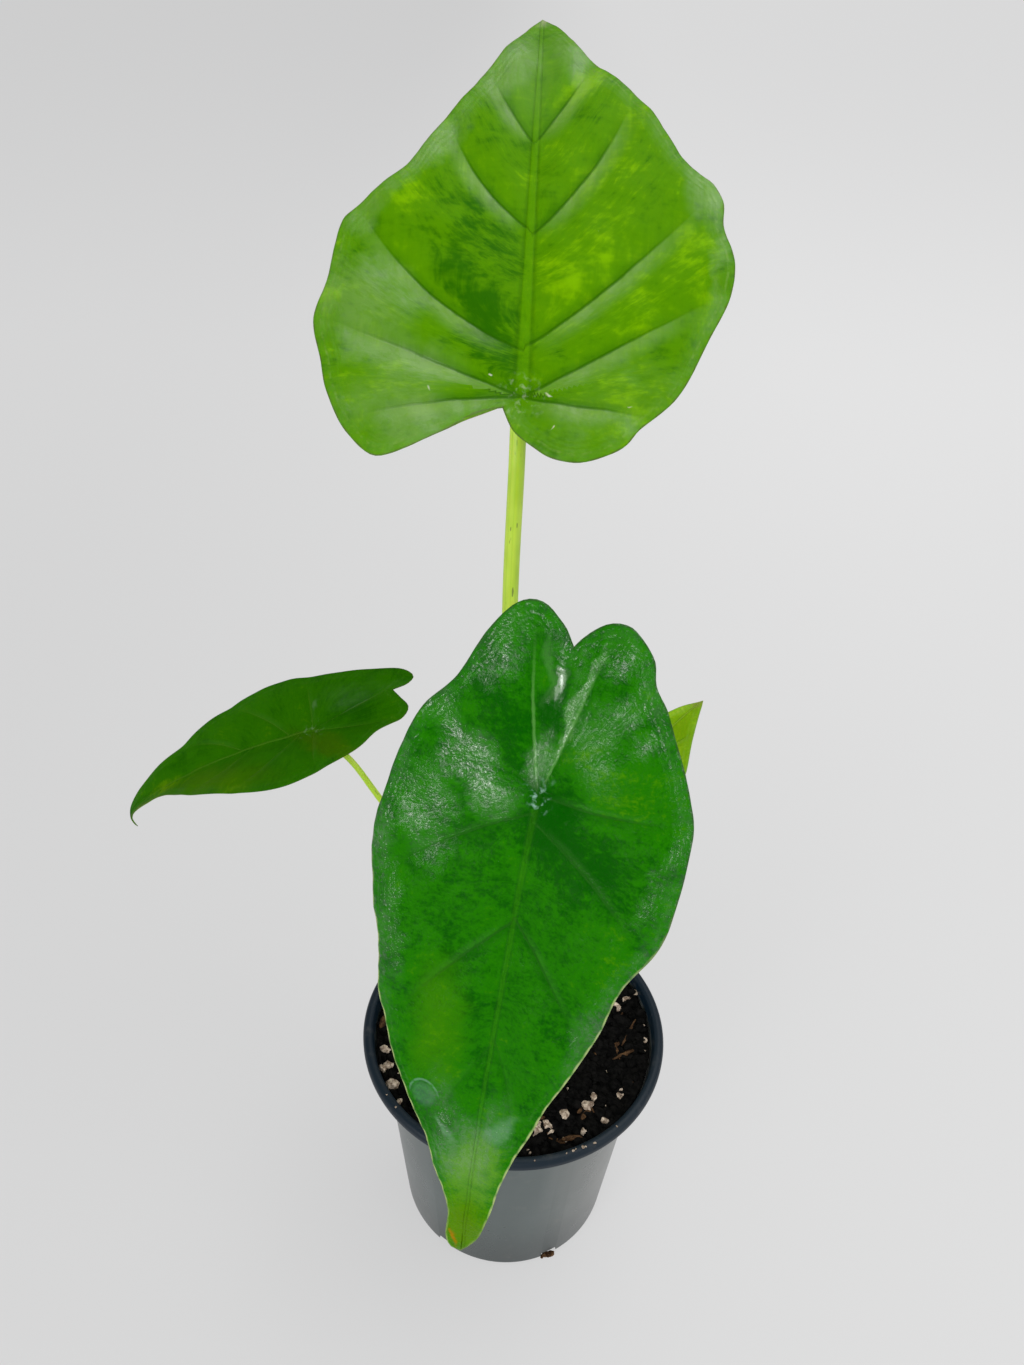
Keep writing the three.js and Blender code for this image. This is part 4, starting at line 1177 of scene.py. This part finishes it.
def makePotMaterial(look):
    material, tree, shader = newMaterial("pottedPlastic")
    place = objectPlace(tree)
    sideways, _, height = place.split()
    lip = height.ramp(*look["lipFrom"])
    streaky = place.stretched((60, 60, 5)).noise(1.0, 3.0)
    wall = streaky.ramp(0.3, 0.7).mix(look["dark"], look["light"])
    # painted light and painted shade: the wall is paler towards +X and darker towards -X
    paintedSideLight = sideways + (streaky - 0.5) * 0.02
    wall = paintedSideLight.ramp(*look["paintedSideLightFrom"], 0.0, 0.6).mix(wall, look["paintedSideLight"])
    wall = paintedSideLight.ramp(*look["paintedSideShadeFrom"], 0.0, 0.4).mix(wall, look["paintedSideShade"])
    # painted shade: darker towards the foot
    wall = height.ramp(look["paintedFootShadeTop"], 0.0, 0.0, 0.8).mix(wall, look["foot"])
    colour = lip.mix(wall, look["lip"])
    dust = place.noise(120.0, 4.0, 0.65)
    colour = dust.ramp(0.55, 0.85, 0.0, 0.35).mix(colour, look["dust"])
    colour = (specks(place, 260.0, 0.2, 0.1) * lip * 0.6).mix(colour, look["speck"])
    scratches = place.stretched((300, 300, 12)).noise(1.0)
    feedAll(shader, {
        "Base Color": colour, "Roughness": streaky * 0.12 + dust * 0.1 + lip * 0.2 + 0.18,
        "Normal": bump(scratches * 0.015), "Specular IOR Level": 0.3,
    })
    return material


potPlastic = makePotMaterial(potLook)
potBody = turned("potBody", potProfile(pot), pot["sides"])
potMesh = runTree("nurseryPot", potBody, makeDrainTree(potPlastic), {
    "Count": pot["drainCount"], "Radius": pot["drainRadius"] * mm,
    "Centre Radius": pot["drainCentre"] * mm, "Top": pot["drainTop"] * mm,
    "First Turn": math.radians(pot["drainTurn"]),
})
addPiece("nurseryPot", potMesh, ["pot"], potPlastic)
potMesh.set_sharp_from_angle(angle=math.radians(pot["sharpAngle"]))


# Soil: a lumpy bed, with peat crumbs, perlite and bark scattered on it

soil = {
    "level": 88, "roughness": 0.7, "edgeRadius": 47.95, "rings": 70, "sides": 200,
    "cormHole": 9.9, "holeDepth": 4,
}


def soilHeight(x, y):
    # slow waves, and a slight rise towards the wall of the pot
    lumps = (math.sin(0.31 * x + 1.2) * math.cos(0.27 * y - 0.4) + 0.6 * math.sin(0.62 * x - 0.35 * y)
             + 0.4 * math.cos(0.9 * y + 0.5 * x))
    edge = math.hypot(x, y) / pot["collarRadius"]
    return soil["level"] + soil["roughness"] * lumps * 0.6 + 0.8 * edge * edge - 0.4


def fineSoilHeight(x, y):
    rough = noise.fractal(Vector((x * 0.35, y * 0.35, 3.1)), 0.7, 2.1, 5)
    return soilHeight(x, y) + 0.55 * rough


def soilRing(radius, turns, height=None):
    # at the given height, or else on the lumpy surface
    ring = [(radius * math.cos(t), radius * math.sin(t)) for t in turns]
    return [(x, y, fineSoilHeight(x, y) if height is None else height) for x, y in ring]


def makeSoilBed(s):
    turns = 2 * np.pi * np.arange(s["sides"]) / s["sides"]
    wall = s["edgeRadius"] - pot["collarRadius"]
    floor = pot["floor"] + 0.4
    below = [
        (0, floor), (pot["baseRadius"] + wall - 1.2, floor), (pot["baseRadius"] + wall, floor + 1.2),
        (pot["shoulderRadius"] + wall, pot["shoulderHeight"]),
        (s["edgeRadius"], pot["shoulderHeight"] + 3.4),
    ]
    hole = [(s["cormHole"], s["level"] - s["holeDepth"]), (0, s["level"] - s["holeDepth"])]
    span = s["cormHole"] - s["edgeRadius"]
    radii = [s["edgeRadius"] + span * (k / s["rings"]) for k in range(s["rings"] + 1)]
    rings = [soilRing(radius, turns, height) for radius, height in below]
    rings += [soilRing(radius, turns) for radius in radii]
    rings += [soilRing(radius, turns, height) for radius, height in hole]
    return closeMesh(ringMesh("soilBed", np.array(rings)))


def makeSoilMaterial(name, dark, light, roughness, scale):
    material, tree, shader = newMaterial(name)
    place = objectPlace(tree)
    big = place.noise(scale, 4.0, 0.65)
    fine = place.noise(scale * 4, 3.0, 0.7)
    feedAll(shader, {
        "Base Color": big.ramp(0.35, 0.7).mix(dark, light),
        "Roughness": big.ramp(0.3, 0.7, roughness, roughness + 0.15),
        "Normal": bump(big * 0.4 + fine * 0.15), "Specular IOR Level": 0.06,
    })
    return material


# name, dark, light, least roughness, lumps per metre
peat = makeSoilMaterial("dampPeat", (0.001, 0.001, 0.001), (0.008, 0.0075, 0.007), 0.85, 500.0)
perlite = makeSoilMaterial("perlite", (0.2, 0.14, 0.1), (0.78, 0.65, 0.52), 0.9, 700.0)
bark = makeSoilMaterial("barkChip", (0.03, 0.015, 0.008), (0.14, 0.075, 0.035), 0.7, 700.0)
addPiece("soilBed", makeSoilBed(soil), ["soil"], peat)

lumpInputs = [("Roughness", "Float", 0.3), ("Unevenness", "Float", 700.0), ("Faces", "Int", 2),
              ("Smooth", "Bool", False)]


def lumpsOn(tree, inside, spots, scale, rotation, material):
    # lumps of a few faces on all the spots, each pushed out of round by a noise
    lump = put(tree, "GeometryNodeMeshIcoSphere", {"Radius": 1.0, "Subdivisions": inside["Faces"]})
    placed = put(tree, "GeometryNodeInstanceOnPoints", {
        "Points": spots, "Instance": lump, "Rotation": rotation, "Scale": scale})
    wave = put(tree, "ShaderNodeTexNoise", {"Scale": inside["Unevenness"], "Detail": 2.0}, out="Color")
    moved = wave.vector("SUBTRACT", (0.5, 0.5, 0.5)).scaled(inside["Roughness"] * (2 * mm))
    whole = placed.then("GeometryNodeRealizeInstances")
    whole = whole.then("GeometryNodeSetPosition", {"Offset": moved})
    whole = whole.then("GeometryNodeSetShadeSmooth", {"Shade Smooth": inside["Smooth"]})
    return whole.then("GeometryNodeSetMaterial", {"Material": material})


def makeScatterTree(name, material):
    # lumps at random over a surface, each with its own size and turn
    tree, inside, result = newTree(name, [
        ("Density", "Float", 50000.0), ("Smallest", "Float", 0.0006), ("Largest", "Float", 0.0018),
        ("Stretch", "Float", 1.0), ("Seed", "Int", 1), *lumpInputs,
    ])
    seed = inside["Seed"]

    def chance(kind, inputs):
        return put(tree, "FunctionNodeRandomValue", inputs, out="Value", data_type=kind)

    spots = put(tree, "GeometryNodeDistributePointsOnFaces", {
        "Mesh": inside["Geometry"], "Density": inside["Density"], "Seed": seed}, out="Points")
    share = chance("FLOAT", {"Seed": seed}).math("POWER", 2.5)
    size = share * (inside["Largest"] - inside["Smallest"]) + inside["Smallest"]
    shape = chance("FLOAT_VECTOR", {"Min": (0.7, 0.6, 0.5), "Max": (1.3, 1.0, 0.9), "Seed": seed + 3})
    longer = put(tree, "ShaderNodeCombineXYZ", {0: inside["Stretch"], 1: 1.0, 2: 1.0})
    turn = chance("FLOAT_VECTOR", {
        "Min": (-0.5, -0.5, 0.0), "Max": (0.5, 0.5, 6.283), "Seed": seed + 7})
    scale = shape.vector("MULTIPLY", longer).scaled(size)
    feed(result, lumpsOn(tree, inside, spots, scale, turn, material))
    return tree


def makePlacedTree(name, material):
    # lumps on the base's own points, sized and turned by its attributes
    tree, inside, result = newTree(name, lumpInputs)
    spots = put(tree, "GeometryNodeMeshToPoints", {"Mesh": inside["Geometry"]})
    size, turn = (put(tree, "GeometryNodeInputNamedAttribute", {"Name": label},
                      data_type="FLOAT_VECTOR") for label in ("lumpSize", "lumpTurn"))
    feed(result, lumpsOn(tree, inside, spots, size, turn, material))
    return tree


def placedPoints(name, lumps):
    # base mesh for makePlacedTree from (x, y, z, length, width, height, turn) in mm and degrees
    mesh = bpy.data.meshes.new(name)
    rows = np.array(lumps, float)
    mesh.from_pydata((rows[:, :3] * mm).tolist(), [], [])
    storeVectors(mesh, "lumpSize", rows[:, 3:6] * mm)
    storeVectors(mesh, "lumpTurn", np.radians(rows[:, 6:]) * (0, 0, 1))
    return mesh


def soilSurface(inner, outer):
    # the part of the soil's surface between two radii, as a base to scatter on
    turns = np.linspace(0, 2 * np.pi, 90, endpoint=False)
    rings = [soilRing(radius, turns) for radius in np.linspace(inner, outer, 30)]
    return ringMesh("soilSurface", np.array(rings), inward=True)


def addLumps(name, base, tree, values, material):
    made = runTree(name, base, tree, values)
    addPiece(name, made, (), material)


# material, inner and outer radius in mm, and the inputs of the tree
scatters = {
    "peatCrumbs": (peat, 11, 47, {
        "Density": 3.0e5, "Smallest": 0.5 * mm, "Largest": 2.2 * mm, "Stretch": 1.1,
        "Roughness": 0.35, "Faces": 2, "Seed": 4}),
    "perliteGrains": (perlite, 13, 46, {
        "Density": 1.1e4, "Smallest": 0.4 * mm, "Largest": 1.5 * mm, "Stretch": 1.1,
        "Roughness": 0.3, "Unevenness": 500.0, "Faces": 3, "Smooth": True, "Seed": 12}),
    "barkChips": (bark, 12, 45, {
        "Density": 1.0e4, "Smallest": 0.5 * mm, "Largest": 1.5 * mm, "Stretch": 3.2,
        "Roughness": 0.2, "Faces": 2, "Seed": 21}),
}
for name, (material, inner, outer, values) in scatters.items():
    base = soilSurface(inner, outer)
    addLumps(name, base, makeScatterTree(name + "Tree", material), values, material)

# Larger grains, where they lie in the pot that was photographed: (x, y, radius) in mm
largeGrains = [
    (44, 19, 1.0), (40.6, 16, 1.2), (36.8, 12.7, 1.6), (46, 4.7, 0.7), (46.3, -1, 0.7), (46, -5.5, 0.6),
    (36.9, -22.9, 1.1), (27.7, -24.2, 1.2), (25.3, -27.7, 1.8), (17.6, -31.4, 1.6), (31.1, -33.2, 1.1),
    (8.4, -36.9, 2.1), (12, -35.6, 1.5), (13, -37.7, 1.0), (23.7, -37.1, 0.9), (-44.2, -10, 1.4),
    (-42.4, -15.9, 1.7), (-44, -17.5, 1.2), (-40, -23.5, 1.8), (-37, -30, 1.0), (33, -14, 0.6),
]
lipDust = [
    (20.1, -46.6, 0.4), (20.9, -46, 0.25), (23.2, -45.2, 0.5), (24.1, -45, 0.3), (27, -43.6, 0.4),
    (18, -47.6, 0.25), (34.4, -37.4, 0.3), (-37.5, -34.6, 0.3), (-41, -30.2, 0.25), (8, -50.6, 0.25),
]
# (x, y, length, width, turn) and, at the drain hole, (x, y, z, radius)
longChips = [
    (40.8, 1.7, 6.5, 0.5, 64), (-46.3, 1.2, 3.0, 1.2, 80), (37, -8, 3.0, 0.4, 30),
    (20, -40, 3.5, 0.8, 10),
]
footCrumbs = [(16.7, -34.4, 1.3, 1.3), (18.6, -33.8, 1.0, 1.0), (15.2, -35, 0.6, 0.6)]


def rounded(x, y, z, radius, turn):
    return x, y, z, radius * 1.25, radius, radius * 0.7, turn


grains = [rounded(x, y, fineSoilHeight(x, y) + 0.15 * r, r, 70 * k)
          for k, (x, y, r) in enumerate(largeGrains)]
chips = [(x, y, fineSoilHeight(x, y) + 0.6, length, width, width, turn)
         for x, y, length, width, turn in longChips]
flakes = [rounded(x, y, pot["height"] + 0.1, r, 50 * k) for k, (x, y, r) in enumerate(lipDust)]
crumbs = [rounded(x, y, z, r, 40 * k) for k, (x, y, z, r) in enumerate(footCrumbs)]
placedLumps = {
    "perliteLumps": (perlite, grains, {
        "Roughness": 1.2, "Unevenness": 450.0, "Faces": 4, "Smooth": True}),
    "barkSlivers": (bark, chips, {"Roughness": 0.5, "Unevenness": 400.0, "Faces": 3}),
    "lipDust": (perlite, flakes, {"Roughness": 0.3, "Unevenness": 900.0, "Faces": 2}),
    "footCrumbs": (bark, crumbs, {"Roughness": 0.9, "Unevenness": 600.0, "Faces": 3}),
}
for name, (material, lumps, values) in placedLumps.items():
    base = placedPoints(name + "Places", lumps)
    addLumps(name, base, makePlacedTree(name + "Tree", material), values, material)


# Corm: only its crown shows between the stalks

cormLook = {"groove": (0.05, 0.03, 0.015), "ridge": (0.26, 0.17, 0.08), "ringDepth": 0.5 * mm}


def makeCormMaterial(look):
    material, tree, shader = newMaterial("cormSkin")
    rings = objectPlace(tree).stretched((120, 120, 900)).noise(1.0, 3.0)
    feedAll(shader, {
        "Base Color": rings.ramp(0.35, 0.7).mix(look["groove"], look["ridge"]),
        "Roughness": rings.ramp(0.3, 0.7, 0.65, 0.85), "Normal": bump(rings, look["ringDepth"]),
    })
    return material


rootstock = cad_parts["rootstock"]
rootstock.data.materials.clear()
rootstock.data.materials.append(makeCormMaterial(cormLook))
print("rootstock dressed")


# Stage: pale seamless floor, soft studio light

stage = {
    "floorHalf": 7.0,
    "floorColour": (0.17, 0.17, 0.17),  # the share of the floor's brightness that takes shadows
    "floorGlow": (0.57, 0.57, 0.572),   # and the share that doesn't
    "glowAcross": (0.87, 1.0),          # painted light: the glow grows from left to right
    "glowBehind": 1.11,
    "worldColour": (1.0, 1.0, 1.0),
    "worldStrength": 0.36,              # as light
    "worldSeen": 0.66,                  # as a background
}


def makeStage(s):
    mesh = bpy.data.meshes.new("paleFloor")
    half = s["floorHalf"]
    corners = [(-half, -half, 0), (half, -half, 0), (half, half, 0), (-half, half, 0)]
    mesh.from_pydata(corners, [], [(0, 1, 2, 3)])
    material, tree, shader = newMaterial("palePaper")
    sideways, depth, _ = objectPlace(tree).split()
    # painted light: the floor glows, more towards +X and further back
    glow = sideways.ramp(-0.4, 0.35, *s["glowAcross"]) * depth.ramp(0.05, 1.0, 1.0, s["glowBehind"])
    feedAll(shader, {
        "Base Color": s["floorColour"], "Roughness": 0.9, "Specular IOR Level": 0.0,
        "Emission Color": glow.vector("MULTIPLY", s["floorGlow"]), "Emission Strength": 1.0,
    })
    mesh.materials.append(material)
    floor = addToScene("paleFloor", mesh)
    world = bpy.data.worlds.new("softSurround")
    world.use_nodes = True
    background = world.node_tree.nodes["Background"]
    seen = put(world.node_tree, "ShaderNodeLightPath")
    feedAll(background, {
        "Color": s["worldColour"],
        "Strength": seen * (s["worldSeen"] - s["worldStrength"]) + s["worldStrength"],
    })
    bpy.context.scene.world = world


def addSoftbox(name, place, aim, width, height, radiance):
    light = bpy.data.lights.new(name, "AREA")
    light.shape = "RECTANGLE"
    light.size = width
    light.size_y = height
    light.energy = radiance * math.pi * width * height
    lamp = addToScene(name, light)
    lamp.location = place
    lamp.rotation_euler = (Vector(aim) - Vector(place)).to_track_quat("-Z", "Y").to_euler()


makeStage(stage)
# name, place, aim, width, height, radiance
addSoftbox("overheadLight", (0.45, 0.25, 1.7), (0, 0, 0.2), 1.5, 1.5, 2.3)
addSoftbox("windowLight", (-0.75, -1.4, 0.75), (0, -0.02, 0.25), 1.5, 0.8, 3.2)
addSoftbox("windowPane", (-0.9, -1.25, 0.62), (0, -0.02, 0.25), 0.35, 0.3, 12.0)
addSoftbox("roomLight", (1.5, -0.8, 0.7), (0, 0, 0.25), 1.2, 0.9, 1.9)
bpy.context.scene.view_settings.view_transform = "Standard"
print("floor and lights placed")
